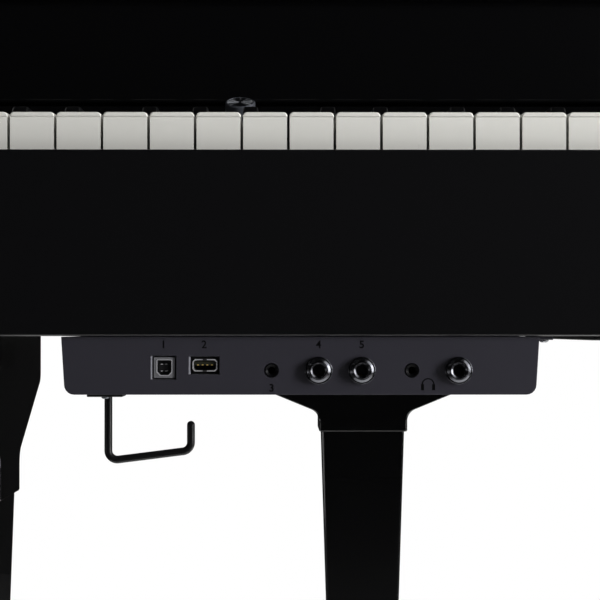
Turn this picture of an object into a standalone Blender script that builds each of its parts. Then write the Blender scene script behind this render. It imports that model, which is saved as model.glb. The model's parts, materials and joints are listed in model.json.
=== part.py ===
"""Digital grand piano: a small grand case on three legs with a keyboard, a jack box and a pedal lyre.

Units are metres. X runs to the player's right, Y away from the player and Z up. The origin is on the
floor under the middle of the case. Rest is the playing state: the lid stands open on its prop with its
front flap folded back, the fallboard is open with its lip folded, and the music desk lies flat.
"""
import math

import bmesh
import bpy
from mathutils import Matrix, Vector

# Fits between neighbouring pieces
SEAT_GAP = 0.0003
SLIDE_GAP = 0.0006
STEP = 0.0002

# Case
CHEEK_WIDTH = 0.0525
CASE_DEPTH = 0.952
CASE_BOTTOM = 0.622
RIM_TOP = 0.865
RIM_WALL = 0.040
ARM_TOP = 0.775
ARM_NOSE_RADIUS = 0.030
ARM_SWEEP_LENGTH = 0.085
SPINE_CORNER_RADIUS = 0.110
TAIL_END_SHARE = -0.227
BENTSIDE_END_SHARE = -0.042
BOARD_THICKNESS = 0.018
DECK_TOP = 0.835
DECK_THICKNESS = 0.012
APRON_THICKNESS = 0.012
BATTEN_SIZE = 0.018

# Keyboard
WHITE_COUNT = 52
KEY_PITCH = 0.0235
KEY_SLOT = 0.00103
KEY_TOP = 0.735
KEY_FRONT = -0.431
KEY_REACH = 0.150
KEY_FRONT_HEIGHT = 0.0235
KEY_LIP_HEIGHT = 0.0026
KEY_LIP_REACH = 0.0008
KEY_EDGE = 0.0020
KEY_TAIL = 0.007
KEY_DIP = 0.010
SHARP_WIDTH = 0.0098
SHARP_TOP_WIDTH = 0.0084
SHARP_HEIGHT = 0.012
SHARP_FRONT = 0.0500
SHARP_SLOPE = 0.0100
SHARP_ROOT = 0.014
SHARP_CLEARANCE = 0.0010
SHARP_SPREAD_TWO = 0.0023
SHARP_SPREAD_THREE = 0.0034
SHARP_END_GAP = 0.003
FIRST_SINGLE = 3
SINGLE_COUNT = 13
KEY_ROD_RADIUS = 0.003
KEY_ROD_SETBACK = 0.225
KEY_ROD_DROP = 0.020
KEY_ROD_END_GAP = 0.0005
SHARP_ROD_STEP = 0.017
SHARP_ARM_LIFT = 0.0015
CHASSIS_PLATE = 0.003
CHASSIS_RAIL_FRONT = 0.022
CHASSIS_RAIL_WIDTH = 0.024
CHASSIS_RAIL_MARGIN = 0.008
CHASSIS_SADDLE = 0.004

# Front of the case
SLIP_THICKNESS = 0.016
SLIP_SETBACK = 0.003
SLIP_TOP = 0.7145
SLIP_EDGE = 0.0015
ARM_REACH = 0.045
CHEEK_TOP_RISE = 0.010

# Control panel
PANEL_SETBACK = 0.156
PANEL_FRONT_RISE = 0.0012
PANEL_FRONT_EDGE = 0.0020
PANEL_SLOPE = math.radians(26.0)
PANEL_TOP_RISE = 0.0265
PANEL_THICKNESS = 0.004
KNOB_X = -0.428
KNOB_SETBACK = 0.185
KNOB_RADIUS = 0.009
KNOB_HEIGHT = 0.009
KNOB_SHAFT_RADIUS = 0.003
BUTTON_X = -0.585
BUTTON_RADIUS = 0.006
BUTTON_PROUD = 0.0020
BUTTON_TRAVEL = 0.0015

# Fallboard and its lip
FALLBOARD_SETBACK = 0.222
FALLBOARD_RISE = 0.036
FALLBOARD_UNDER_RISE = 0.032
FALLBOARD_THICKNESS = 0.010
FALLBOARD_LENGTH = 0.145
FALLBOARD_HEEL = 0.006
FALLBOARD_SIDE_GAP = 0.003
FALLBOARD_PIN_RADIUS = 0.003
FALLBOARD_OPEN = math.radians(97.0)
LIP_LENGTH = 0.087

# Music desk
DESK_WIDTH = 0.520
DESK_DEPTH = 0.200
DESK_THICKNESS = 0.008
DESK_SETBACK = 0.276
DESK_PIN_RADIUS = 0.002
DESK_EAR_THICKNESS = 0.006

# Lid, flap and prop
LID_THICKNESS = 0.018
LID_SPINE_INSET = 0.0125
LID_SPLIT_SETBACK = 0.498
FLAP_SETBACK = 0.262
LID_OPEN = math.radians(20.0)
HINGE_RADIUS = 0.0024
HINGE_END_GAP = 0.010
HINGE_OUTSET = 0.0033
PROP_RATIO = 4.0
PROP_INSET = 0.1135
PROP_RISE = 0.008
PROP_WIDTH = 0.010
PROP_THICKNESS = 0.008
PROP_EDGE_GAP = 0.008
PROP_BOSS_RADIUS = 0.006
PROP_PIN_RADIUS = 0.002
PROP_EAR = 0.003
SEAT_DROP = 0.006
SEAT_REACH = 0.006
SEAT_SLOPE = math.radians(47.0)
SEAT_CLEARANCE = 0.0005
SEAT_PLATE = 0.010
SEAT_ROOT = 0.002

# Jack box under the keyslip
BOX_X = -0.3935
BOX_WIDTH = 0.237
BOX_TAPER = 0.0015
BOX_HEIGHT = 0.0287
BOX_DEPTH = 0.100
BOX_SETBACK = -0.016
BOX_CORNER = 0.005
BOX_EDGE = 0.0010
BOX_EAR_WIDTH = 0.0075
BOX_EAR_THICKNESS = 0.0016
PORT_DROP = 0.017
PORT_DEPTH = 0.024
JACK_XS = (-0.3845, -0.3631, -0.3151)
JACK_BORE = 0.0032
JACK_BARREL = 0.0056
JACK_NUT = 0.00685
JACK_NUT_DEPTH = 0.0030
JACK_DEPTH = 0.018
MINI_XS = (-0.4078, -0.3383)
MINI_BORE = 0.0018
MINI_BARREL = 0.0034
MINI_PROUD = 0.0006
DEVICE_PORT_X = -0.4613
DEVICE_PORT_WIDTH = 0.0128
DEVICE_PORT_HEIGHT = 0.0112
MEMORY_PORT_X = -0.4412
MEMORY_PORT_WIDTH = 0.0154
MEMORY_PORT_HEIGHT = 0.0085
SOCKET_WALL = 0.0010
TONGUE_SETBACK = 0.0050

# Headphone hook
HOOK_X = -0.4908
HOOK_END_X = -0.4489
HOOK_SETBACK = 0.009
HOOK_WIRE_RADIUS = 0.0020
HOOK_DROP = 0.034
HOOK_RISE = 0.006
HOOK_TIP_RISE = 0.0135
HOOK_PLATE_WIDTH = 0.018
HOOK_PLATE_DEPTH = 0.022
HOOK_PLATE_THICKNESS = 0.0013

# Legs
LEG_INSET = 0.1175
LEG_SETBACK = 0.130
TAIL_LEG_X = -0.3335
TAIL_LEG_SETBACK = 0.739
LEG_BLOCK_NARROW = 0.059
LEG_BLOCK_WIDE = 0.105
LEG_BLOCK_HEIGHT = 0.020
LEG_COLLAR = 0.0383
LEG_COLLAR_TOP = 0.550
LEG_COLLAR_BOTTOM = 0.5385
LEG_COLUMN_TOP = 0.0357
LEG_COLUMN_FOOT = 0.0195
LEG_CORNER = 0.0040
FOOT_RADIUS = 0.016
FOOT_HEIGHT = 0.014

# Pedal lyre
LYRE_SETBACK = 0.205
LYRE_POST_SPREAD = 0.170
LYRE_POST_TOP = 0.017
LYRE_POST_FOOT = 0.013
LYRE_BOX_WIDTH = 0.300
LYRE_BOX_DEPTH = 0.110
LYRE_BOX_BOTTOM = 0.048
LYRE_BOX_TOP = 0.118
LYRE_WALL = 0.010
LYRE_FOOT_RADIUS = 0.012
PEDAL_PITCH = 0.072
PEDAL_WIDTH = 0.026
PEDAL_NECK = 0.014
PEDAL_THICKNESS = 0.007
PEDAL_REACH = 0.085
PEDAL_HEIGHT = 0.084
PEDAL_SWING = math.radians(8.0)
PEDAL_SLOT_GAP = 0.0025
BRACE_RADIUS = 0.006
BRACE_RUN = 0.160

# Inside the case
WOOFER_RADIUS = 0.080
SPEAKER_FLANGE = 0.008
SPEAKER_DEPTH = 0.060
SPEAKER_PLACES = (
    ("left", -0.420, 0.215),
    ("right", 0.060, 0.190),
)
STANDOFF_HEIGHT = 0.008
MAIN_BOARD = (0.240, 0.140, 0.0016)
MAIN_BOARD_PLACE = (-0.250, 0.020)
SUPPLY_BOX = (0.140, 0.085, 0.038)
SUPPLY_PLACE = (0.180, 0.000)
COVER_X = (-0.243, 0.330)
COVER_SETBACK = (0.016, 0.300)
COVER_THICKNESS = 0.0020
INLET_PLACE = (-0.560, 0.330)
INLET_SIZE = (0.034, 0.026, 0.022)

# Places that follow from the sizes above
KEY_SPAN = WHITE_COUNT * KEY_PITCH
HALF_WIDTH = KEY_SPAN / 2 + CHEEK_WIDTH + RIM_WALL
TAIL_Y = CASE_DEPTH / 2
TAIL_END_X = HALF_WIDTH * TAIL_END_SHARE
BENTSIDE_END_Y = TAIL_Y * BENTSIDE_END_SHARE
ARM_FRONT = KEY_FRONT - ARM_REACH
ARM_INNER = HALF_WIDTH - RIM_WALL
PORT_HEIGHT = CASE_BOTTOM - PORT_DROP
PROP_X = HALF_WIDTH - PROP_INSET
PROP_HEIGHT = DECK_TOP + PROP_RISE
LEG_X = HALF_WIDTH - LEG_INSET
KEY_ROD_Y = KEY_FRONT + KEY_ROD_SETBACK
KEY_ROD_Z = KEY_TOP - KEY_ROD_DROP
KEY_UNDER = KEY_ROD_Z + KEY_ROD_RADIUS + SEAT_GAP
GROUP_SEAT = KEY_ROD_Z + KEY_ROD_RADIUS * 0.4
SHARP_ROD_Y = KEY_ROD_Y + SHARP_ROD_STEP
BOARD_TOP = CASE_BOTTOM + BOARD_THICKNESS
PANEL_FRONT = KEY_FRONT + PANEL_SETBACK
APRON_FRONT = KEY_FRONT + FLAP_SETBACK - APRON_THICKNESS
LID_UNDER = RIM_TOP + SEAT_GAP
LID_TOP = LID_UNDER + LID_THICKNESS
LID_SPLIT = KEY_FRONT + LID_SPLIT_SETBACK
LID_LEFT = -HALF_WIDTH + LID_SPINE_INSET
LID_AXIS = Vector((LID_LEFT - HINGE_OUTSET, 0.0, RIM_TOP + SLIDE_GAP + HINGE_RADIUS))
FLAP_AXIS = Vector((0.0, LID_SPLIT, LID_TOP + SLIDE_GAP / 2))
FALL_AXIS = Vector((0.0, KEY_FRONT + FALLBOARD_SETBACK, KEY_TOP + FALLBOARD_RISE))
FALL_UNDER = KEY_TOP + FALLBOARD_UNDER_RISE
FALL_FRONT = FALL_AXIS.y - FALLBOARD_LENGTH
LIP_AXIS = Vector((0.0, FALL_FRONT - SLIDE_GAP, FALL_UNDER - SLIDE_GAP / 2))
DESK_AXIS = Vector((0.0, KEY_FRONT + DESK_SETBACK, DECK_TOP + SLIDE_GAP + DESK_THICKNESS / 2))
PEDAL_AXIS_Y = KEY_FRONT + LYRE_SETBACK + LYRE_BOX_DEPTH / 2 - LYRE_WALL - PEDAL_THICKNESS / 2 - SLIDE_GAP

# Matrices that stand a flat outline up: its own x and y become Y and Z, or X and Z
SIDE_VIEW = Matrix(((0, 0, 1, 0), (1, 0, 0, 0), (0, 1, 0, 0), (0, 0, 0, 1)))
FRONT_VIEW = Matrix.Rotation(math.pi / 2, 4, "X")
PLAN_VIEW = Matrix.Identity(4)

# Finishes: colour, roughness, metallic
POLISHED_BLACK = ((0.010, 0.010, 0.012), 0.08, 0.0)
SATIN_BLACK = ((0.020, 0.020, 0.021), 0.45, 0.0)
BOX_BLACK = ((0.030, 0.029, 0.032), 0.35, 0.0)
KEY_WHITE = ((0.60, 0.59, 0.55), 0.30, 0.0)
KEY_BLACK = ((0.012, 0.012, 0.013), 0.38, 0.0)
STEEL = ((0.45, 0.45, 0.46), 0.30, 1.0)
DARK_METAL = ((0.12, 0.13, 0.15), 0.30, 1.0)
BRASS = ((0.72, 0.50, 0.20), 0.22, 1.0)
CIRCUIT_GREEN = ((0.02, 0.12, 0.05), 0.50, 0.0)
PAPER_CONE = ((0.050, 0.050, 0.055), 0.70, 0.0)


def clear_scene():
    """Removes every object, so that the model starts on its own."""
    for old in list(bpy.data.objects):
        bpy.data.objects.remove(old, do_unlink=True)


def new_collection(name):
    """Adds a collection to the scene."""
    made = bpy.data.collections.new(name)
    bpy.context.scene.collection.children.link(made)
    return made


clear_scene()
PIANO = new_collection("digital_grand_piano")
CUTTERS = new_collection("cutters")


def evaluated_mesh(obj):
    """Returns a new mesh of the object with its modifiers applied."""
    bpy.context.view_layer.update()
    graph = bpy.context.evaluated_depsgraph_get()
    return bpy.data.meshes.new_from_object(obj.evaluated_get(graph), depsgraph=graph)


def mesh_object(name, mesh, matrix=PLAN_VIEW):
    """Puts a mesh in the piano's collection."""
    obj = bpy.data.objects.new(name, mesh)
    PIANO.objects.link(obj)
    obj.matrix_world = matrix
    return obj


def from_bmesh(name, bm, matrix=PLAN_VIEW):
    """Turns a bmesh into an object with its faces pointing out."""
    bmesh.ops.recalc_face_normals(bm, faces=bm.faces)
    mesh = bpy.data.meshes.new(name)
    bm.to_mesh(mesh)
    bm.free()
    return mesh_object(name, mesh, matrix)


def from_curve(obj, join=1e-5):
    """Turns a curve into a mesh object, with its loose caps joined to its sides."""
    mesh = evaluated_mesh(obj)
    bm = bmesh.new()
    bm.from_mesh(mesh)
    bmesh.ops.remove_doubles(bm, verts=bm.verts, dist=join)
    bmesh.ops.recalc_face_normals(bm, faces=bm.faces)
    bm.to_mesh(mesh)
    bm.free()
    made = mesh_object(obj.name + "_solid", mesh, obj.matrix_world.copy())
    bpy.data.objects.remove(obj, do_unlink=True)
    return made


def rounded(obj, width, segments=2, angle=30.0):
    """Rounds the sharp edges of an object."""
    bevel = obj.modifiers.new("edge", "BEVEL")
    bevel.width = width
    bevel.segments = segments
    bevel.limit_method = "ANGLE"
    bevel.angle_limit = math.radians(angle)
    bevel.use_clamp_overlap = True
    return obj


def block(name, low, high, edge=0.0, segments=2):
    """A box between two corners, with rounded edges if asked."""
    low, high = Vector(low), Vector(high)
    bm = bmesh.new()
    bmesh.ops.create_cube(bm, size=1.0)
    size = high - low
    bmesh.ops.transform(bm, matrix=Matrix.Diagonal((*size, 1.0)), verts=bm.verts)
    obj = from_bmesh(name, bm, Matrix.Translation((low + high) / 2))
    if edge:
        rounded(obj, edge, segments)
    return obj


def flat_solid(name, outline, thickness, place=PLAN_VIEW):
    """A flat outline given a thickness, centred on the outline's own plane."""
    curve = bpy.data.curves.new(name, "CURVE")
    curve.dimensions = "2D"
    curve.fill_mode = "BOTH"
    curve.extrude = thickness / 2
    line = curve.splines.new("POLY")
    line.points.add(len(outline) - 1)
    for point, (x, y) in zip(line.points, outline):
        point.co = (x, y, 0.0, 1.0)
    line.use_cyclic_u = True
    obj = bpy.data.objects.new(name, curve)
    PIANO.objects.link(obj)
    obj.matrix_world = place
    return from_curve(obj)


def turned(name, profile, place, steps=24, closed=False):
    """A profile of (radius, height) points turned about its own Z axis."""
    mesh = bpy.data.meshes.new(name)
    edges = [(i, i + 1) for i in range(len(profile) - 1)]
    if closed:
        edges.append((len(profile) - 1, 0))
    mesh.from_pydata([(r, 0.0, z) for r, z in profile], edges, [])
    obj = mesh_object(name, mesh, place)
    screw = obj.modifiers.new("turn", "SCREW")
    screw.steps = steps
    screw.render_steps = steps
    screw.use_merge_vertices = True
    screw.merge_threshold = 1e-5
    return obj


def rod(name, start, end, radius, steps=16):
    """A round rod between two points."""
    start, end = Vector(start), Vector(end)
    along = end - start
    bm = bmesh.new()
    bmesh.ops.create_cone(
        bm, cap_ends=True, segments=steps, radius1=radius, radius2=radius, depth=along.length
    )
    turn = along.to_track_quat("Z", "Y").to_matrix().to_4x4()
    return from_bmesh(name, bm, Matrix.Translation((start + end) / 2) @ turn)


def loft(name, rings, place=PLAN_VIEW):
    """Skins a stack of rings that have the same number of points."""
    bm = bmesh.new()
    rows = [[bm.verts.new(point) for point in ring] for ring in rings]
    count = len(rows[0])
    for lower, upper in zip(rows, rows[1:]):
        for i in range(count):
            j = (i + 1) % count
            bm.faces.new((lower[i], lower[j], upper[j], upper[i]))
    bm.faces.new(rows[0])
    bm.faces.new(rows[-1])
    return from_bmesh(name, bm, place)


def boolean(target, tool, operation="DIFFERENCE"):
    """Cuts a tool from a target, or joins it on."""
    change = target.modifiers.new("boolean", "BOOLEAN")
    change.operation = operation
    change.solver = "EXACT"
    change.object = tool
    PIANO.objects.unlink(tool)
    CUTTERS.objects.link(tool)
    tool.hide_render = True
    tool.display_type = "WIRE"
    return target


def joined(base, pieces):
    """Joins pieces that reach into a base on to it, as one solid."""
    for piece in pieces:
        boolean(base, piece, "UNION")
    return base


def finished(obj, name, finish):
    """Gives an object its name, its own material and smooth round sides."""
    colour, roughness, metallic = finish
    material = bpy.data.materials.new(name)
    material.use_nodes = True
    shader = material.node_tree.nodes["Principled BSDF"]
    shader.inputs["Base Color"].default_value = (*colour, 1.0)
    shader.inputs["Roughness"].default_value = roughness
    shader.inputs["Metallic"].default_value = metallic
    obj.data.materials.clear()
    obj.data.materials.append(material)
    obj.name = name
    obj.data.name = name
    obj.data.shade_smooth()
    obj.data.set_sharp_from_angle(angle=math.radians(30.0))
    return obj


def pivot(name, point, axis, angle, parent=None):
    """An empty on a joint's axis. What hangs on it is drawn shut and turns with it by the angle."""
    empty = bpy.data.objects.new(name, None)
    PIANO.objects.link(empty)
    empty.empty_display_size = 0.02
    empty["shut"] = tuple(point)
    motion = Matrix.Translation(point) @ Matrix.Rotation(angle, 4, axis)
    if parent is None:
        empty.matrix_world = motion
    else:
        empty.parent = parent
        empty.matrix_parent_inverse = Matrix.Translation(-Vector(parent["shut"]))
        empty.matrix_basis = motion
    return empty


def hang(obj, empty):
    """Hangs an object, drawn in the shut state, on a pivot."""
    basis = obj.matrix_basis.copy()
    obj.parent = empty
    obj.matrix_parent_inverse = Matrix.Translation(-Vector(empty["shut"]))
    obj.matrix_basis = basis
    return obj


def centred(obj, point):
    """Moves an object's origin to a point and leaves its shape where it is, as one plain mesh."""
    shift = Matrix.Translation(point)
    mesh = evaluated_mesh(obj)
    mesh.transform(shift.inverted() @ obj.matrix_world)
    obj.modifiers.clear()
    obj.data = mesh
    obj.matrix_world = shift
    return obj


def arc(centre, radius, start, end, steps):
    """Points along an arc, angles in degrees."""
    angles = [math.radians(start + (end - start) * i / steps) for i in range(steps + 1)]
    return [(centre[0] + radius * math.cos(a), centre[1] + radius * math.sin(a)) for a in angles]


def bezier(a, b, c, d, steps):
    """Points along a cubic curve, without its first point."""
    points = []
    for i in range(1, steps + 1):
        t = i / steps
        s = 1.0 - t
        weights = (s**3, 3 * s * s * t, 3 * s * t * t, t**3)
        points.append(tuple(sum(w * p[k] for w, p in zip(weights, (a, b, c, d))) for k in (0, 1)))
    return points


def inset(path, distance):
    """Moves an open path to its right-hand side by a distance."""
    moved = []
    for i, (x, y) in enumerate(path):
        before = Vector(path[max(i - 1, 0)])
        after = Vector(path[min(i + 1, len(path) - 1)])
        here = Vector((x, y))
        first = (here - before).normalized() if i else (after - here).normalized()
        second = (after - here).normalized() if i < len(path) - 1 else first
        along = (first + second).normalized()
        reach = distance / max(along.dot(first), 0.5)
        moved.append((x + along.y * reach, y - along.x * reach))
    return moved


def soft_box(width, depth, corner, steps=3):
    """The outline of a rectangle with round corners, centred on the origin."""
    w, d = width / 2 - corner, depth / 2 - corner
    points = []
    for x, y, start in ((w, d, 0), (-w, d, 90), (-w, -d, 180), (w, -d, 270)):
        points += arc((x, y), corner, start, start + 90, steps)
    return points


def plan_point(across, back):
    """A point of the case's outline, as shares of its half width and of its half depth."""
    return HALF_WIDTH * across, TAIL_Y * back


def rim_path():
    """The outer line of the case from the left arm round the tail to the right arm."""
    left_corner = (-HALF_WIDTH + SPINE_CORNER_RADIUS, TAIL_Y - SPINE_CORNER_RADIUS)
    hip = plan_point(0.298, 0.641)
    waist = plan_point(0.654, 0.336)
    shoulder = (HALF_WIDTH, BENTSIDE_END_Y)
    path = [(-HALF_WIDTH, y) for y in arm_stations()]
    path += arc(left_corner, SPINE_CORNER_RADIUS, 180, 90, 8)
    path.append((TAIL_END_X, TAIL_Y))
    tail_end = (TAIL_END_X, TAIL_Y)
    path += bezier(tail_end, plan_point(0.071, 1.0), plan_point(0.192, 0.840), hip, 7)
    path += bezier(hip, plan_point(0.405, 0.441), plan_point(0.512, 0.378), waist, 6)
    path += bezier(waist, plan_point(0.853, 0.282), plan_point(1.0, 0.210), shoulder, 8)
    path += [(HALF_WIDTH, y) for y in reversed(arm_stations())]
    return path


def arm_stations():
    """Places along an arm, close together where its top line curves."""
    nose = [ARM_FRONT + ARM_NOSE_RADIUS * (1 - math.cos(math.radians(a))) for a in range(0, 91, 18)]
    sweep_start = APRON_FRONT - ARM_SWEEP_LENGTH
    sweep = [sweep_start + ARM_SWEEP_LENGTH * i / 8 for i in range(9)]
    return nose + sweep


def arm_height(y):
    """The height of the rim's top line at a place along the arm."""
    into_nose = y - ARM_FRONT
    if into_nose < ARM_NOSE_RADIUS:
        rise = math.sqrt(max(ARM_NOSE_RADIUS**2 - (ARM_NOSE_RADIUS - into_nose) ** 2, 0.0))
        return ARM_TOP - ARM_NOSE_RADIUS + rise
    share = (y - (APRON_FRONT - ARM_SWEEP_LENGTH)) / ARM_SWEEP_LENGTH
    share = min(max(share, 0.0), 1.0)
    return ARM_TOP + (RIM_TOP - ARM_TOP) * share * share * (3 - 2 * share)


def make_rim():
    """The curved case wall: a sheet along the plan line, thickened inwards."""
    path = rim_path()
    bm = bmesh.new()
    low = [bm.verts.new((x, y, CASE_BOTTOM)) for x, y in path]
    top = [bm.verts.new((x, y, arm_height(y))) for x, y in path]
    for i in range(len(path) - 1):
        bm.faces.new((low[i], low[i + 1], top[i + 1], top[i]))
    mesh = bpy.data.meshes.new("rim")
    bm.to_mesh(mesh)
    bm.free()
    rim = mesh_object("rim", mesh)
    wall = rim.modifiers.new("wall", "SOLIDIFY")
    wall.thickness = RIM_WALL
    wall.offset = 1.0
    wall.use_even_offset = True
    return finished(joined(rim, deck_battens()), "rim", POLISHED_BLACK)


def inner_outline(gap, front):
    """The plan of a board that fills the case behind a line, a gap away from the rim."""
    line = inset(rim_path(), RIM_WALL + gap)
    inside = [point for point in line if point[1] > front + SEAT_GAP]
    return [(-ARM_INNER + gap, front)] + inside + [(ARM_INNER - gap, front)]


def make_bottom_board():
    """The board that carries the keyboard and closes the case from below."""
    outline = inner_outline(SLIDE_GAP, KEY_FRONT - SLIP_SETBACK + SEAT_GAP)
    place = Matrix.Translation((0, 0, CASE_BOTTOM + BOARD_THICKNESS / 2))
    return finished(flat_solid("board", outline, BOARD_THICKNESS, place), "bottom_board", SATIN_BLACK)


def make_inner_deck():
    """The board under the lid, with round openings for the loudspeakers."""
    outline = inner_outline(SLIDE_GAP, APRON_FRONT + APRON_THICKNESS + SEAT_GAP)
    middle = DECK_TOP - DECK_THICKNESS / 2
    deck = flat_solid("deck", outline, DECK_THICKNESS, Matrix.Translation((0, 0, middle)))
    for _, x, y in SPEAKER_PLACES:
        low = (x, y, DECK_TOP - 2 * DECK_THICKNESS)
        high = (x, y, DECK_TOP + DECK_THICKNESS)
        hole = rod("speaker_hole", low, high, WOOFER_RADIUS, 28)
        boolean(deck, hole)
    joined(deck, desk_ears() + prop_bracket())
    return finished(deck, "inner_deck", SATIN_BLACK)


def deck_battens():
    """Battens that grow from the inside of the rim and carry the inner deck."""
    top = DECK_TOP - DECK_THICKNESS - SEAT_GAP
    front = APRON_FRONT + APRON_THICKNESS + SEAT_GAP
    inner = ARM_INNER - BATTEN_SIZE
    tail = TAIL_Y - RIM_WALL
    low = top - BATTEN_SIZE
    return [
        block("spine_batten", (-ARM_INNER - 0.002, front, low), (-inner, TAIL_Y - SPINE_CORNER_RADIUS, top)),
        block(
            "tail_batten",
            (-HALF_WIDTH + SPINE_CORNER_RADIUS, tail - BATTEN_SIZE, low),
            (TAIL_END_X, tail + 0.002, top),
        ),
        block("side_batten", (inner, front, low), (ARM_INNER + 0.002, BENTSIDE_END_Y, top)),
    ]


def make_apron():
    """The upright board behind the fallboard, from the panel up to the deck."""
    low = (-ARM_INNER + SEAT_GAP, APRON_FRONT, KEY_TOP + PANEL_TOP_RISE + SEAT_GAP)
    high = (ARM_INNER - SEAT_GAP, APRON_FRONT + APRON_THICKNESS, DECK_TOP)
    return finished(block("apron", low, high, 0.001, 1), "fallboard_apron", POLISHED_BLACK)


def make_keyslip():
    """The glossy board in front of the keys, with rounded lower and upper edges."""
    low = (-ARM_INNER + SEAT_GAP, KEY_FRONT - SLIP_SETBACK - SLIP_THICKNESS, CASE_BOTTOM)
    high = (ARM_INNER - SEAT_GAP, KEY_FRONT - SLIP_SETBACK, SLIP_TOP)
    return finished(block("slip", low, high, SLIP_EDGE, 3), "keyslip", POLISHED_BLACK)


def make_cheek_blocks():
    """The blocks that close the keyboard at both ends."""
    for name, side in (("cheek_block_left", -1), ("cheek_block_right", 1)):
        near, far = KEY_SPAN / 2 + KEY_SLOT, ARM_INNER - SEAT_GAP
        low_x, high_x = sorted((side * near, side * far))
        low = (low_x, KEY_FRONT, BOARD_TOP + SEAT_GAP)
        high = (high_x, PANEL_FRONT - SEAT_GAP, KEY_TOP + CHEEK_TOP_RISE)
        finished(block("cheek", low, high, 0.0015, 2), name, POLISHED_BLACK)


def make_key_chassis():
    """The tray under the keys: a plate, a front rail, a rear rail and the rod of the single keys."""
    half = KEY_SPAN / 2
    front = KEY_FRONT + CHASSIS_RAIL_FRONT
    base = BOARD_TOP + SEAT_GAP
    back = SHARP_ROD_Y + CHASSIS_RAIL_MARGIN
    rail_front = KEY_ROD_Y - CHASSIS_RAIL_WIDTH / 2
    rail_top = KEY_ROD_Z - KEY_ROD_RADIUS - SEAT_GAP
    front_top = KEY_TOP - KEY_FRONT_HEIGHT - KEY_DIP - 0.004
    outline = [
        (front, base),
        (back, base),
        (back, rail_top),
        (rail_front, rail_top),
        (rail_front, base + CHASSIS_PLATE),
        (front + CHASSIS_RAIL_WIDTH, base + CHASSIS_PLATE),
        (front + CHASSIS_RAIL_WIDTH, front_top),
        (front, front_top),
    ]
    tray = flat_solid("tray", outline, 2 * half, SIDE_VIEW)
    left, right = key_edges(FIRST_SINGLE, FIRST_SINGLE + SINGLE_COUNT - 1)
    start = (left, KEY_ROD_Y, KEY_ROD_Z)
    end = (right, KEY_ROD_Y, KEY_ROD_Z)
    single_rod = rod("single_rod", start, end, KEY_ROD_RADIUS, 12)
    saddle = block(
        "saddle",
        (left, KEY_ROD_Y - CHASSIS_SADDLE / 2, rail_top - CHASSIS_PLATE),
        (right, KEY_ROD_Y + CHASSIS_SADDLE / 2, KEY_ROD_Z),
    )
    return finished(joined(tray, [saddle, single_rod]), "key_chassis", STEEL)


def key_edges(first, last):
    """The ends of the rod under a run of white keys."""
    left = -KEY_SPAN / 2 + first * KEY_PITCH + KEY_ROD_END_GAP
    right = -KEY_SPAN / 2 + (last + 1) * KEY_PITCH - KEY_ROD_END_GAP
    return left, right


def sharp_offset(boundary):
    """How far a black key stands off the line between its two white keys, or None where there is none.

    Boundaries count from the low A, so that boundary 0 lies between A and B.
    """
    place = (boundary + 5) % 7
    return {
        0: -SHARP_SPREAD_TWO,
        1: SHARP_SPREAD_TWO,
        3: -SHARP_SPREAD_THREE,
        4: 0.0,
        5: SHARP_SPREAD_THREE,
    }.get(place)


def sharp_places():
    """Each black key's boundary and its middle line."""
    places = {}
    for boundary in range(WHITE_COUNT - 1):
        offset = sharp_offset(boundary)
        if offset is not None:
            places[boundary] = -KEY_SPAN / 2 + (boundary + 1) * KEY_PITCH + offset
    return places


def white_key(index, sharps, seat, plain=False):
    """A white key: sections along its length give its lip, its edges and the notches beside it.

    A plain key has square edges and no lip."""
    left = -KEY_SPAN / 2 + index * KEY_PITCH + KEY_SLOT / 2
    right = left + KEY_PITCH - KEY_SLOT
    notch = SHARP_WIDTH / 2 + SHARP_CLEARANCE
    tail_left = sharps[index - 1] + notch if index - 1 in sharps else left
    tail_right = sharps[index] - notch if index in sharps else right
    notch_y = KEY_FRONT + SHARP_FRONT - SHARP_CLEARANCE
    lip_back = KEY_FRONT + KEY_LIP_REACH
    lip_under = KEY_TOP - KEY_LIP_HEIGHT
    under = KEY_TOP - KEY_FRONT_HEIGHT
    nose = KEY_EDGE * 0.4

    def section(y, low_x, high_x, low_z, high_z=KEY_TOP):
        """The key's section at one place along its length."""
        if plain:
            return [
                (low_x, y, low_z),
                (high_x, y, low_z),
                (high_x, y, high_z),
                (low_x, y, high_z),
            ]
        return [
            (low_x, y, low_z),
            (high_x, y, low_z),
            (high_x, y, high_z - KEY_EDGE),
            (high_x - KEY_EDGE, y, high_z),
            (low_x + KEY_EDGE, y, high_z),
            (low_x, y, high_z - KEY_EDGE),
        ]

    lip = [
        section(KEY_FRONT, left + nose, right - nose, lip_under + nose / 2, KEY_TOP - nose),
        section(lip_back, left, right, lip_under),
        section(lip_back + STEP, left, right, under),
    ]
    if plain:
        lip = [section(KEY_FRONT, left, right, under)]
    sections = lip + [
        section(notch_y, left, right, under),
        section(notch_y + STEP, tail_left, tail_right, seat),
        section(KEY_ROD_Y + KEY_TAIL, tail_left, tail_right, seat),
    ]
    return loft("white_key", sections)


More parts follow.
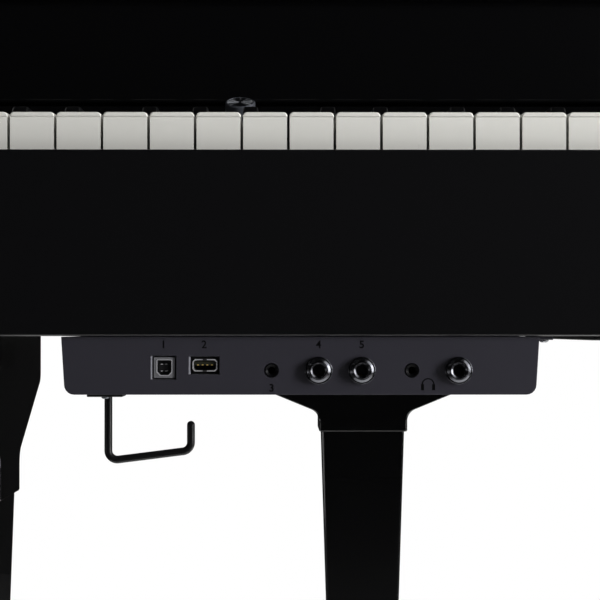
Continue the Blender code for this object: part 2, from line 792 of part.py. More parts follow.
def black_key(middle):
    """A black key: a sloped front, a narrower top, and an arm that runs back to the rod."""
    back = KEY_FRONT + KEY_REACH - SHARP_END_GAP
    front = KEY_FRONT + SHARP_FRONT
    foot, top = SHARP_WIDTH / 2, SHARP_TOP_WIDTH / 2
    crown = KEY_TOP + SHARP_HEIGHT
    root = KEY_TOP - SHARP_ROOT
    arm_top = KEY_TOP - SHARP_ROOT / 3

    def section(y, low_z, top_half, top_z):
        """The key's section at one place along its length."""
        return [
            (middle - foot, y, low_z),
            (middle + foot, y, low_z),
            (middle + top_half, y, top_z),
            (middle - top_half, y, top_z),
        ]

    over_rod = KEY_UNDER + SHARP_ARM_LIFT
    sections = [
        section(front, root, foot - STEP, KEY_TOP),
        section(front + SHARP_SLOPE, root, top, crown),
        section(back, root, top, crown),
        section(back + STEP, over_rod, foot - STEP, arm_top),
        section(SHARP_ROD_Y - KEY_TAIL, over_rod, foot - STEP, arm_top),
        section(SHARP_ROD_Y - KEY_TAIL / 2, GROUP_SEAT, foot - STEP, arm_top),
        section(SHARP_ROD_Y + KEY_TAIL / 2, GROUP_SEAT, foot - STEP, arm_top),
    ]
    return loft("black_key", sections)


def note_name(index):
    """A white key's note, counted from the low A."""
    letter = "ABCDEFG"[index % 7]
    octave = (index + 5) // 7
    return f"{letter}{octave}"


def key_group(name, keys, ends, y, finish):
    """Keys that share one turning rod, as one solid on the rod's axis."""
    base = rod("rod", (ends[0], y, KEY_ROD_Z), (ends[1], y, KEY_ROD_Z), KEY_ROD_RADIUS, 8)
    group = centred(joined(base, keys), (0.0, y, KEY_ROD_Z))
    return finished(group, name, finish)


def make_white_keys(sharps):
    """Single keys in the low octaves, and the rest in groups that each turn with a rod of their own."""
    last_single = FIRST_SINGLE + SINGLE_COUNT - 1
    for index in range(FIRST_SINGLE, last_single + 1):
        key = centred(white_key(index, sharps, KEY_UNDER), (0.0, KEY_ROD_Y, KEY_ROD_Z))
        finished(key, "white_key_" + note_name(index).lower(), KEY_WHITE)
    for name, first, last, plain in (
        ("white_keys_lowest", 0, FIRST_SINGLE - 1, False),
        ("white_keys_upper", last_single + 1, WHITE_COUNT - 1, True),
    ):
        indices = range(first, last + 1)
        keys = [white_key(index, sharps, GROUP_SEAT, plain) for index in indices]
        key_group(name, keys, key_edges(first, last), KEY_ROD_Y, KEY_WHITE)


def make_black_keys(sharps):
    """The black keys in groups that each turn with a rod behind the white keys' rod."""
    last_single = FIRST_SINGLE + SINGLE_COUNT - 1
    for name, first, last in (
        ("black_keys_octave_1", 0, FIRST_SINGLE + 5),
        ("black_keys_octave_2", FIRST_SINGLE + 6, last_single),
        ("black_keys_upper", last_single + 1, WHITE_COUNT - 2),
    ):
        middles = [sharps[i] for i in range(first, last + 1) if i in sharps]
        ends = (middles[0] - SHARP_WIDTH * 0.4, middles[-1] + SHARP_WIDTH * 0.4)
        keys = [black_key(middle) for middle in middles]
        key_group(name, keys, ends, SHARP_ROD_Y, KEY_BLACK)


def make_keys():
    """The whole keyboard."""
    sharps = sharp_places()
    make_white_keys(sharps)
    make_black_keys(sharps)


def panel_point(setback):
    """A point on the sloped face of the control panel, in the side view."""
    run = setback - PANEL_SETBACK
    height = KEY_TOP + PANEL_FRONT_RISE + PANEL_FRONT_EDGE + run * math.tan(PANEL_SLOPE)
    return KEY_FRONT + setback, height


def panel_place(x, setback):
    """The place on the slope where a knob or button stands, its Z axis along the slope's normal."""
    y, z = panel_point(setback)
    return Matrix.Translation((x, y, z)) @ Matrix.Rotation(PANEL_SLOPE, 4, "X")


def make_control_panel():
    """The folded panel behind the keys: a front edge, a slope for the controls and a flat back."""
    lower = KEY_TOP + PANEL_FRONT_RISE
    slope_run = (PANEL_TOP_RISE - PANEL_FRONT_RISE - PANEL_FRONT_EDGE) / math.tan(PANEL_SLOPE)
    ridge = (PANEL_FRONT + slope_run, KEY_TOP + PANEL_TOP_RISE)
    back = APRON_FRONT + APRON_THICKNESS
    under = ridge[1] - PANEL_THICKNESS
    under_run = (under - lower) / math.tan(PANEL_SLOPE)
    outline = [
        (PANEL_FRONT, lower),
        (PANEL_FRONT + PANEL_THICKNESS, lower),
        (PANEL_FRONT + PANEL_THICKNESS + under_run, under),
        (back, under),
        (back, ridge[1]),
        ridge,
        (PANEL_FRONT, lower + PANEL_FRONT_EDGE),
    ]
    width = 2 * (ARM_INNER - SEAT_GAP)
    panel = flat_solid("panel", outline, width, SIDE_VIEW)
    rounded(panel, PANEL_FRONT_EDGE * 0.3, 1)
    for x, setback, radius in (
        (KNOB_X, KNOB_SETBACK, KNOB_SHAFT_RADIUS),
        (BUTTON_X, KNOB_SETBACK, BUTTON_RADIUS),
    ):
        place = panel_place(x, setback)
        reach = place.to_3x3() @ Vector((0, 0, 0.012))
        centre = place.translation
        boolean(panel, rod("hole", centre - reach, centre + reach, radius + SEAT_GAP, 16))
    return finished(panel, "control_panel", POLISHED_BLACK)


def make_volume_knob():
    """A turned knob with a spun face and a chamfered rim, on its shaft."""
    profile = [
        (0.0, KNOB_HEIGHT),
        (KNOB_RADIUS - 0.0007, KNOB_HEIGHT),
        (KNOB_RADIUS, KNOB_HEIGHT - 0.0007),
        (KNOB_RADIUS, SLIDE_GAP),
        (KNOB_SHAFT_RADIUS, SLIDE_GAP),
        (KNOB_SHAFT_RADIUS, -0.008),
        (0.0, -0.008),
    ]
    knob = turned("knob", profile, panel_place(KNOB_X, KNOB_SETBACK), 24)
    return finished(knob, "volume_knob", DARK_METAL)


def make_power_button():
    """A round push button in the slope, which stays proud when it is pushed in."""
    height = BUTTON_PROUD + BUTTON_TRAVEL
    profile = [
        (0.0, height),
        (BUTTON_RADIUS - 0.0006, height),
        (BUTTON_RADIUS, height - 0.0006),
        (BUTTON_RADIUS, -0.006),
        (0.0, -0.006),
    ]
    button = turned("button", profile, panel_place(BUTTON_X, KNOB_SETBACK), 18)
    return finished(button, "power_button", SATIN_BLACK)


def make_fallboard():
    """The keyboard cover in two halves, drawn shut and hung open on its pins."""
    hinge = pivot("fallboard_axis", FALL_AXIS, "X", -FALLBOARD_OPEN)
    half = ARM_INNER - FALLBOARD_SIDE_GAP
    low = (-half, FALL_FRONT, FALL_UNDER)
    high = (half, FALL_AXIS.y + FALLBOARD_HEEL, FALL_UNDER + FALLBOARD_THICKNESS)
    board = block("board", low, high, 0.002, 2)
    reach = ARM_INNER - SEAT_GAP
    pin = rod("pin", (-reach, *FALL_AXIS.yz), (reach, *FALL_AXIS.yz), FALLBOARD_PIN_RADIUS, 16)
    cover = finished(centred(joined(board, [pin]), FALL_AXIS), "fallboard", POLISHED_BLACK)
    hang(cover, hinge)

    lip_hinge = pivot("lip_axis", LIP_AXIS, "X", math.pi, hinge)
    lip_low = (-half, LIP_AXIS.y - SLIDE_GAP - LIP_LENGTH, FALL_UNDER)
    lip_high = (half, LIP_AXIS.y - SLIDE_GAP, FALL_UNDER + FALLBOARD_THICKNESS)
    lip = block("lip", lip_low, lip_high, 0.002, 2)
    finished(centred(lip, LIP_AXIS), "fallboard_lip", POLISHED_BLACK)
    hang(lip, lip_hinge)


def make_music_desk():
    """The desk that lies on the deck, with the pins that it turns on."""
    half = DESK_WIDTH / 2
    under = DECK_TOP + SLIDE_GAP
    front = DESK_AXIS.y - DESK_THICKNESS / 2
    leaf = block(
        "leaf",
        (-half, front, under),
        (half, front + DESK_DEPTH, under + DESK_THICKNESS),
        DESK_THICKNESS * 0.4,
        3,
    )
    reach = half + SLIDE_GAP + DESK_EAR_THICKNESS
    pin = rod("pin", (-reach, *DESK_AXIS.yz), (reach, *DESK_AXIS.yz), DESK_PIN_RADIUS, 12)
    return finished(centred(joined(leaf, [pin]), DESK_AXIS), "music_desk", POLISHED_BLACK)


def desk_ears():
    """Ears on the deck that the music desk's pins turn in."""
    ears = []
    for side in (-1, 1):
        near = side * (DESK_WIDTH / 2 + SLIDE_GAP)
        low_x, high_x = sorted((near, near + side * DESK_EAR_THICKNESS))
        low = (low_x, DESK_AXIS.y - DESK_THICKNESS / 2, DECK_TOP - 0.002)
        high = (high_x, DESK_AXIS.y + DESK_THICKNESS / 2, DECK_TOP + SLIDE_GAP + DESK_THICKNESS)
        ear = block("ear", low, high)
        start, end = (low_x - 0.002, *DESK_AXIS.yz), (high_x + 0.002, *DESK_AXIS.yz)
        ears.append(boolean(ear, rod("ear_hole", start, end, DESK_PIN_RADIUS + SEAT_GAP, 16)))
    return ears


def lid_outline(front, back):
    """The plan of a part of the lid between two lines, flush with the rim except at the spine."""
    outline = [(x, y) for x, y in rim_path() if y > front + STEP and y < back + STEP]
    right = crossing(front)
    points = [(LID_LEFT, front)]
    points += [(max(x, LID_LEFT), y) for x, y in outline]
    points.append((right, front))
    kept = [points[0]]
    for point in points[1:]:
        if (Vector(point) - Vector(kept[-1])).length > STEP:
            kept.append(point)
    return kept


def crossing(y):
    """Where the right-hand side of the case's outer line crosses a line from left to right."""
    path = rim_path()
    for (x0, y0), (x1, y1) in zip(path, path[1:]):
        if x1 > 0 and y0 >= y >= y1 and y0 > y1:
            return x0 + (x1 - x0) * (y0 - y) / (y0 - y1)
    return HALF_WIDTH


def seat_frame():
    """Solves where the open prop meets the lid: the prop's length and the seat's distance out."""
    swing = LID_OPEN * PROP_RATIO
    drop = LID_AXIS.z - LID_UNDER + SEAT_DROP
    reach = PROP_X - LID_AXIS.x
    rise = LID_AXIS.z - PROP_HEIGHT
    slope = math.tan(LID_OPEN)
    length = slope * (reach - drop * math.sin(LID_OPEN)) + rise - drop * math.cos(LID_OPEN)
    length /= math.sin(swing) + slope * math.cos(swing)
    out = (reach - length * math.cos(swing) - drop * math.sin(LID_OPEN)) / math.cos(LID_OPEN)
    return length, out


def make_lid():
    """The lid in two parts, drawn shut, the front flap folded back and the whole hung open."""
    hinge = pivot("lid_axis", LID_AXIS, "Y", -LID_OPEN)
    middle = LID_UNDER + LID_THICKNESS / 2
    place = Matrix.Translation((0, 0, middle))
    lid = flat_solid("lid", lid_outline(LID_SPLIT + SLIDE_GAP, TAIL_Y), LID_THICKNESS, place)
    rounded(lid, 0.002, 1, 60)

    _, out = seat_frame()
    x = LID_AXIS.x + out
    back_x = x + SEAT_REACH
    upper = LID_UNDER - SLIDE_GAP
    wedge = [
        (x - (SEAT_DROP - SLIDE_GAP) / math.tan(SEAT_SLOPE), upper),
        (back_x, upper),
        (back_x, LID_UNDER - SEAT_DROP - SEAT_REACH * math.tan(SEAT_SLOPE)),
    ]
    prop_front = LID_SPLIT - PROP_EDGE_GAP - PROP_THICKNESS
    depth = PROP_EDGE_GAP + PROP_THICKNESS + SEAT_PLATE
    where = Matrix.Translation((0, prop_front + depth / 2, 0)) @ FRONT_VIEW
    seat = flat_solid("seat", wedge, depth, where)
    low = (x - SEAT_DROP / 2, LID_SPLIT + 2 * SLIDE_GAP, LID_UNDER - SEAT_DROP / 3)
    high = (back_x - STEP, prop_front + depth - STEP, LID_UNDER + SEAT_ROOT)
    root = block("seat_root", low, high)
    finished(centred(joined(lid, [root, seat]), LID_AXIS), "lid", POLISHED_BLACK)
    hang(lid, hinge)

    flap_hinge = pivot("flap_axis", FLAP_AXIS, "X", -math.pi, hinge)
    outline = lid_outline(KEY_FRONT + FLAP_SETBACK, LID_SPLIT - SLIDE_GAP)
    outline = [point for point in outline if point[1] < LID_SPLIT - SLIDE_GAP]
    right = crossing(LID_SPLIT - SLIDE_GAP)
    left_end = (LID_LEFT, LID_SPLIT - SLIDE_GAP)
    right_end = (right, LID_SPLIT - SLIDE_GAP)
    left_points = [p for p in outline if p[0] < 0]
    right_points = [p for p in outline if p[0] >= 0]
    flap = flat_solid("flap", left_points + [left_end, right_end] + right_points, LID_THICKNESS, place)
    rounded(flap, 0.002, 1, 60)
    finished(centred(flap, FLAP_AXIS), "lid_flap", POLISHED_BLACK)
    hang(flap, flap_hinge)


def make_lid_hinge():
    """The long hinge barrel along the spine, on the lid's own axis."""
    start = (LID_AXIS.x, LID_SPLIT + HINGE_END_GAP, LID_AXIS.z)
    end = (LID_AXIS.x, TAIL_Y - SPINE_CORNER_RADIUS - HINGE_END_GAP, LID_AXIS.z)
    return finished(rod("barrel", start, end, HINGE_RADIUS, 16), "lid_hinge", BRASS)


def make_lid_prop():
    """The prop, drawn open, with a boss at its foot and a slanted head under the lid's seat."""
    length, _ = seat_frame()
    swing = LID_OPEN * PROP_RATIO
    along = Vector((-math.cos(swing), math.sin(swing)))
    across = Vector((math.sin(swing), math.cos(swing)))
    foot = Vector((PROP_X, PROP_HEIGHT))
    face_angle = LID_OPEN - SEAT_SLOPE
    face = Vector((math.cos(face_angle), math.sin(face_angle)))
    normal = Vector((-face.y, face.x))
    head = foot + along * length - normal * SEAT_CLEARANCE

    def head_corner(side):
        """Where one side of the bar meets the slanted head."""
        start = foot + across * side * PROP_WIDTH / 2
        gap = head - start
        return start + along * (gap.dot(normal) / along.dot(normal))

    turn = math.degrees(math.atan2(along.y, along.x))
    spread = math.degrees(math.asin(PROP_WIDTH / 2 / PROP_BOSS_RADIUS))
    boss = arc(foot, PROP_BOSS_RADIUS, turn + spread, turn + 360 - spread, 14)
    outline = [tuple(head_corner(1)), tuple(head_corner(-1)), *boss]
    middle_y = LID_SPLIT - PROP_EDGE_GAP - PROP_THICKNESS / 2
    where = Matrix.Translation((0, middle_y, 0)) @ FRONT_VIEW
    bar = flat_solid("bar", outline, PROP_THICKNESS, where)
    centre = Vector((PROP_X, middle_y, PROP_HEIGHT))
    reach = Vector((0, PROP_THICKNESS, 0))
    boolean(bar, rod("eye", centre - reach, centre + reach, PROP_PIN_RADIUS + SEAT_GAP, 16))
    return finished(centred(bar, centre), "lid_prop", POLISHED_BLACK)


def prop_bracket():
    """Two ears and a pin on the deck for the foot of the prop."""
    middle_y = LID_SPLIT - PROP_EDGE_GAP - PROP_THICKNESS / 2
    inner = PROP_THICKNESS / 2 + SEAT_GAP
    pieces = []
    for side in (-1, 1):
        low_y, high_y = sorted((middle_y + side * inner, middle_y + side * (inner + PROP_EAR)))
        low = (PROP_X - PROP_BOSS_RADIUS, low_y, DECK_TOP - 0.002)
        high = (PROP_X + PROP_BOSS_RADIUS, high_y, PROP_HEIGHT + PROP_BOSS_RADIUS)
        pieces.append(block("ear", low, high))
    reach = inner + PROP_EAR / 2
    start, end = ((PROP_X, middle_y + side * reach, PROP_HEIGHT) for side in (-1, 1))
    pieces.append(rod("pin", start, end, PROP_PIN_RADIUS, 16))
    return pieces


def make_jack_box():
    """The moulded box under the keyslip, with recesses for its sockets and an ear for its screw."""
    top = CASE_BOTTOM - SEAT_GAP
    bottom = top - BOX_HEIGHT
    half, half_low = BOX_WIDTH / 2, BOX_WIDTH / 2 - BOX_TAPER
    lower = bottom + BOX_CORNER
    outline = [(-half, top)]
    outline += arc((-half_low + BOX_CORNER, lower), BOX_CORNER, 180, 270, 5)
    outline += arc((half_low - BOX_CORNER, lower), BOX_CORNER, 270, 360, 5)
    outline += [(half, top)]
    front = KEY_FRONT + BOX_SETBACK
    place = Matrix.Translation((BOX_X, front + BOX_DEPTH / 2, 0)) @ FRONT_VIEW
    box = rounded(flat_solid("box", outline, BOX_DEPTH, place), BOX_EDGE, 2, 60)
    right = BOX_X + half
    ear = block(
        "ear",
        (right - 0.004, front + 0.004, top - BOX_EAR_THICKNESS),
        (right + BOX_EAR_WIDTH, front + 0.016, top),
    )
    boolean(box, rounded(ear, 0.0004, 1), "UNION")
    for x in JACK_XS:
        boolean(box, port_bore("jack_recess", x, JACK_BARREL + SEAT_GAP, PORT_DEPTH))
    for x in MINI_XS:
        boolean(box, port_bore("mini_recess", x, MINI_BARREL + SEAT_GAP, PORT_DEPTH))
    for x, width, height in (
        (DEVICE_PORT_X, DEVICE_PORT_WIDTH, DEVICE_PORT_HEIGHT),
        (MEMORY_PORT_X, MEMORY_PORT_WIDTH, MEMORY_PORT_HEIGHT),
    ):
        boolean(box, port_block("port_recess", x, width, height, -0.005, PORT_DEPTH))
    return finished(box, "jack_box", BOX_BLACK)


def port_bore(name, x, radius, depth, start=-0.005):
    """A round cutter into the front of the jack box."""
    front = KEY_FRONT + BOX_SETBACK
    return rod(name, (x, front + start, PORT_HEIGHT), (x, front + depth, PORT_HEIGHT), radius, 18)


def port_block(name, x, width, height, start, end, rise=0.0):
    """A square block in the front of the jack box, between two depths."""
    front = KEY_FRONT + BOX_SETBACK
    middle = PORT_HEIGHT + rise
    low = (x - width / 2, front + start, middle - height / 2)
    high = (x + width / 2, front + end, middle + height / 2)
    return block(name, low, high)


def make_jack_sleeves():
    """Turned jack sleeves: a chamfered nut in front of the box and a barrel with its bore behind."""
    place_turn = Matrix.Rotation(math.pi / 2, 4, "X")
    front = KEY_FRONT + BOX_SETBACK
    floor = JACK_DEPTH - 0.0015
    profile = [
        (JACK_BORE, JACK_NUT_DEPTH * 0.80),
        (JACK_BORE + 0.0008, JACK_NUT_DEPTH),
        (JACK_NUT - 0.0022, JACK_NUT_DEPTH),
        (JACK_NUT - 0.0015, JACK_NUT_DEPTH * 0.62),
        (JACK_NUT, JACK_NUT_DEPTH * 0.45),
        (JACK_NUT, SEAT_GAP),
        (JACK_BARREL, SEAT_GAP),
        (JACK_BARREL, -JACK_DEPTH),
        (0.0, -JACK_DEPTH),
        (0.0, -floor),
        (JACK_BORE, -floor),
    ]
    for name, x in zip(("jack_sleeve_left", "jack_sleeve_right", "jack_sleeve_phones"), JACK_XS):
        place = Matrix.Translation((x, front, PORT_HEIGHT)) @ place_turn
        finished(socket_turned(profile, place), name, DARK_METAL)


def socket_turned(profile, place, steps=16):
    """A turned socket whose bore ends on a floor at the axis."""
    start = next(i for i, (radius, _) in enumerate(profile) if radius == 0.0)
    order = profile[start + 1 :] + profile[: start + 1]
    return turned("socket", order, place, steps)


def make_mini_jacks():
    """Small turned sleeves, nearly flush with the face of the box."""
    place_turn = Matrix.Rotation(math.pi / 2, 4, "X")
    front = KEY_FRONT + BOX_SETBACK
    profile = [
        (MINI_BORE, MINI_PROUD * 0.5),
        (MINI_BORE + 0.0003, MINI_PROUD),
        (MINI_BARREL - 0.0003, MINI_PROUD),
        (MINI_BARREL, MINI_PROUD * 0.5),
        (MINI_BARREL, -JACK_DEPTH),
        (0.0, -JACK_DEPTH),
        (0.0, 0.0015 - JACK_DEPTH),
        (MINI_BORE, 0.0015 - JACK_DEPTH),
    ]
    for name, x in zip(("mini_jack_input", "mini_jack_phones"), MINI_XS):
        place = Matrix.Translation((x, front, PORT_HEIGHT)) @ place_turn
        finished(socket_turned(profile, place, 14), name, SATIN_BLACK)


def make_usb_ports():
    """The two data sockets: each a shell with a mouth and a contact tongue inside."""
    width = DEVICE_PORT_WIDTH - 2 * SEAT_GAP
    height = DEVICE_PORT_HEIGHT - 2 * SEAT_GAP
    inset_mouth = 2.4 * SOCKET_WALL
    shell = port_block("shell", DEVICE_PORT_X, width, height, 0.0006, 0.016)
    mouth = port_block("mouth", DEVICE_PORT_X, width - 2 * inset_mouth, height - inset_mouth, -0.002, 0.0125)
    boolean(shell, mouth)
    tongue = port_block("tongue", DEVICE_PORT_X, 0.0050, 0.0032, 0.0006 + TONGUE_SETBACK, 0.0130)
    boolean(shell, tongue, "UNION")
    finished(shell, "usb_device_port", BOX_BLACK)

    width = MEMORY_PORT_WIDTH - 2 * SEAT_GAP
    height = MEMORY_PORT_HEIGHT - 2 * SEAT_GAP
    shell = port_block("shell", MEMORY_PORT_X, width, height, 0.0006, 0.018)
    inner_width = width - 2 * SOCKET_WALL
    inner_height = height - 2 * SOCKET_WALL
    mouth = port_block("mouth", MEMORY_PORT_X, inner_width, inner_height, -0.002, 0.0150)
    boolean(shell, mouth)
    rise = height / 2 - SOCKET_WALL - 0.0018
    tongue = port_block("tongue", MEMORY_PORT_X, 0.0112, 0.0019, 0.0006 + TONGUE_SETBACK, 0.0160, rise)
    boolean(shell, tongue, "UNION")
    finished(shell, "usb_memory_port", STEEL)


def make_headphone_hook():
    """A bent wire under a small plate: down, along a rising bar and up at its end."""
    y = KEY_FRONT + HOOK_SETBACK
    plate_top = CASE_BOTTOM - 2 * SEAT_GAP - BOX_HEIGHT
    start = plate_top - HOOK_PLATE_THICKNESS
    low = start - HOOK_DROP
    bend = 0.006
    tip_low = low + HOOK_RISE
    points = [
        (HOOK_X, start + HOOK_PLATE_THICKNESS / 2),
        (HOOK_X, low + bend),
        *[(HOOK_X + bend + px, low + bend + pz) for px, pz in arc((0, 0), bend, 195, 275, 5)],
        *[
            (HOOK_END_X - bend + px, tip_low + bend + pz)
            for px, pz in arc((0, 0), bend, 285, 355, 5)
        ],
        (HOOK_END_X, tip_low + bend + 0.002),
        (HOOK_END_X, tip_low + HOOK_TIP_RISE),
    ]
    curve = bpy.data.curves.new("wire", "CURVE")
    curve.dimensions = "3D"
    curve.bevel_depth = HOOK_WIRE_RADIUS
    curve.bevel_resolution = 2
    curve.use_fill_caps = True
    line = curve.splines.new("POLY")
    line.points.add(len(points) - 1)
    for point, (x, z) in zip(line.points, points):
        point.co = (x, y, z, 1.0)
    wire = bpy.data.objects.new("wire", curve)
    PIANO.objects.link(wire)
    wire = from_curve(wire)
    plate = block(
        "plate",
        (HOOK_X - HOOK_PLATE_WIDTH * 0.55, y - HOOK_PLATE_DEPTH / 2, start),
        (HOOK_X + HOOK_PLATE_WIDTH * 0.45, y + HOOK_PLATE_DEPTH / 2, plate_top),
        0.0003,
        1,
    )
    return finished(joined(plate, [wire]), "headphone_hook", SATIN_BLACK)


def leg_section(narrow, wide, corner, height, centre, along_y):
    """One level of a leg: a rectangle with round corners."""
    width, depth = (narrow, wide) if along_y else (wide, narrow)
    outline = soft_box(2 * width, 2 * depth, corner, 2)
    return [(centre[0] + x, centre[1] + y, height) for x, y in outline]


def make_leg(name, centre, along_y):
    """A leg: a block under the case, flared brackets, a collar, a tapered column and its foot."""
    top = CASE_BOTTOM - SEAT_GAP
    block_low = top - LEG_BLOCK_HEIGHT
    narrow, wide, collar = LEG_BLOCK_NARROW, LEG_BLOCK_WIDE, LEG_COLLAR
    flare = block_low - LEG_COLLAR_TOP
    rings = [(narrow, wide, top), (narrow, wide, block_low)]
    for i in range(1, 9):
        share = i / 8
        height = block_low - flare * math.sin(share * math.pi / 2)
        narrow_share = (1.0 - share) ** 1.7
        wide_share = (1.0 - share) ** 1.25
        rings.append(
            (collar + (narrow - collar) * narrow_share, collar + (wide - collar) * wide_share, height)
        )
    rings.append((collar, collar, LEG_COLLAR_BOTTOM))
    rings.append((LEG_COLUMN_TOP, LEG_COLUMN_TOP, LEG_COLLAR_BOTTOM - STEP))
    rings.append((LEG_COLUMN_FOOT, LEG_COLUMN_FOOT, FOOT_HEIGHT))
    rings.append((FOOT_RADIUS, FOOT_RADIUS, FOOT_HEIGHT - STEP))
    rings.append((FOOT_RADIUS, FOOT_RADIUS, 0.0))
    sections = [leg_section(n, w, LEG_CORNER, z, centre, along_y) for n, w, z in rings]
    leg = loft(name, sections)
    return finished(leg, name, POLISHED_BLACK)


def leg_centres():
    """The middle of each leg in plan."""
    front_y = KEY_FRONT + LEG_SETBACK
    tail_y = KEY_FRONT + TAIL_LEG_SETBACK
    return {
        "front_leg_left": (-LEG_X, front_y),
        "front_leg_right": (LEG_X, front_y),
        "tail_leg": (TAIL_LEG_X, tail_y),
    }


def make_legs():
    """The three legs: the front ones flare along Y and the tail one along X."""
    for name, centre in leg_centres().items():
        make_leg(name, centre, along_y=name != "tail_leg")


def lyre_post(x, y, top, foot):
    """A turned post of the lyre, between the plate under the case and the pedal box."""
    height = top - foot
    waist = LYRE_POST_FOOT * 0.85
    profile = [
        (0.0, top),
        (LYRE_POST_TOP * 1.25, top),
        (LYRE_POST_TOP * 1.25, top - 0.012),
        (LYRE_POST_TOP, top - 0.018),
        (LYRE_POST_TOP, top - height * 0.10),
        (waist, foot + height * 0.22),
        (LYRE_POST_FOOT, foot + 0.020),
        (LYRE_POST_FOOT * 1.35, foot + 0.010),
        (LYRE_POST_FOOT * 1.35, foot - LYRE_WALL / 2),
        (0.0, foot - LYRE_WALL / 2),
    ]
    return turned("post", profile, Matrix.Translation((x, y, 0)), 12)


def lyre_foot(x, y):
    """A turned foot under the pedal box."""
    profile = [
        (0.0, LYRE_BOX_BOTTOM + LYRE_WALL / 2),
        (LYRE_FOOT_RADIUS * 0.6, LYRE_BOX_BOTTOM + LYRE_WALL / 2),
        (LYRE_FOOT_RADIUS * 0.6, 0.012),
        (LYRE_FOOT_RADIUS, 0.009),
        (LYRE_FOOT_RADIUS, 0.0),
        (0.0, 0.0),
    ]
    return turned("foot", profile, Matrix.Translation((x, y, 0.0)), 12)


def make_lyre():
    """The pedal lyre: posts, a brace and feet grow from the box that the pedals turn in."""
    y = KEY_FRONT + LYRE_SETBACK
    top = CASE_BOTTOM - COVER_THICKNESS - 2 * SEAT_GAP
    low = (-LYRE_BOX_WIDTH / 2, y - LYRE_BOX_DEPTH / 2, LYRE_BOX_BOTTOM)
    high = (LYRE_BOX_WIDTH / 2, y + LYRE_BOX_DEPTH / 2, LYRE_BOX_TOP)
    box = block("lyre_box", low, high, 0.004, 2)
    slot_low = PEDAL_HEIGHT - PEDAL_THICKNESS / 2 - LYRE_BOX_DEPTH * math.sin(PEDAL_SWING) - PEDAL_SLOT_GAP
    slot_high = PEDAL_HEIGHT + PEDAL_THICKNESS / 2 + PEDAL_SLOT_GAP
    for x in pedal_middles():
        half = PEDAL_NECK / 2 + PEDAL_SLOT_GAP
        slot = block(
            "pedal_slot",
            (x - half, y - LYRE_BOX_DEPTH, slot_low),
            (x + half, y + LYRE_BOX_DEPTH / 2 - LYRE_WALL, slot_high),
        )
        boolean(box, slot)
    pieces = [lyre_post(side * LYRE_POST_SPREAD / 2, y, top, LYRE_BOX_TOP) for side in (-1, 1)]
    pieces += [lyre_foot(side * LYRE_BOX_WIDTH * 0.38, y) for side in (-1, 1)]
    brace_foot = (0.0, y + LYRE_BOX_DEPTH / 2 - 0.012, LYRE_BOX_TOP - BRACE_RADIUS)
    brace_head = (0.0, y + BRACE_RUN, top - BRACE_RADIUS)
    pieces.append(rod("brace", brace_foot, brace_head, BRACE_RADIUS, 12))
    return finished(joined(box, pieces), "pedal_lyre", POLISHED_BLACK)


def pedal_middles():
    """The middle line of each pedal."""
    return [-PEDAL_PITCH, 0.0, PEDAL_PITCH]


def make_pedals():
    """Brass pedals: a wide rounded toe, a neck through the slot and an eye round the pin."""
    y_front = KEY_FRONT + LYRE_SETBACK - LYRE_BOX_DEPTH / 2
    toe = y_front - PEDAL_REACH
    axis_z = PEDAL_HEIGHT
    for name, x in zip(("pedal_left", "pedal_middle", "pedal_right"), pedal_middles()):
        half, neck = PEDAL_WIDTH / 2, PEDAL_NECK / 2
        outline = arc((x, toe + half), half, 180, 360, 10)
        outline += [(x + half, toe + PEDAL_REACH * 0.62), (x + neck, toe + PEDAL_REACH * 0.86)]
        outline += [(x + neck, PEDAL_AXIS_Y), (x - neck, PEDAL_AXIS_Y)]
        outline += [(x - neck, toe + PEDAL_REACH * 0.86), (x - half, toe + PEDAL_REACH * 0.62)]
        plate = flat_solid("plate", outline, PEDAL_THICKNESS, Matrix.Translation((0, 0, axis_z)))
        rounded(plate, 0.0015, 1, 50)
        point = Vector((x, PEDAL_AXIS_Y, axis_z))
        reach = Vector((PEDAL_NECK / 2, 0, 0))
        eye = rod("eye", point - reach, point + reach, PEDAL_THICKNESS / 2, 16)
        finished(centred(joined(plate, [eye]), point), name, BRASS)


def make_speakers():
    """Loudspeakers hung under the deck: a flange, a tapered basket and a magnet, with an open cone."""
    flange_top = DECK_TOP - DECK_THICKNESS - SEAT_GAP
    radius, depth = WOOFER_RADIUS, SPEAKER_DEPTH
    for side, x, y in SPEAKER_PLACES:
        wall = radius * 0.04
        cap = radius * 0.30
        profile = [
            (radius * 0.90, flange_top),
            (radius + SPEAKER_FLANGE, flange_top),
            (radius + SPEAKER_FLANGE, flange_top - 0.003),
            (radius * 0.94, flange_top - 0.004),
            (radius * 0.55, flange_top - depth * 0.60),
            (radius * 0.55, flange_top - depth),
            (0.0, flange_top - depth),
            (0.0, flange_top - depth * 0.30),
            (cap * 0.6, flange_top - depth * 0.33),
            (cap, flange_top - depth * 0.45),
            (radius * 0.82, flange_top - depth * 0.10),
            (radius * 0.90, flange_top - wall),
        ]
        speaker = socket_turned(profile, Matrix.Translation((x, y, 0.0)), 14)
        finished(speaker, f"speaker_{side}", PAPER_CONE)


def make_speaker_grilles():
    """Round grilles that stand in the deck's openings: a flanged ring and a domed plate in one."""
    radius, outer = WOOFER_RADIUS, WOOFER_RADIUS + SPEAKER_FLANGE / 2
    for side, x, y in SPEAKER_PLACES:
        base = DECK_TOP + SEAT_GAP
        profile = [
            (0.0, base + 0.0022),
            (radius - 0.006, base + 0.0016),
            (radius - 0.004, base + 0.0026),
            (outer - 0.0015, base + 0.0026),
            (outer, base + 0.0012),
            (outer, base),
            (radius - 0.006, base),
            (0.0, base + 0.0006),
        ]
        grille = turned("grille", profile, Matrix.Translation((x, y, 0.0)), 16)
        finished(grille, f"speaker_grille_{side}", SATIN_BLACK)


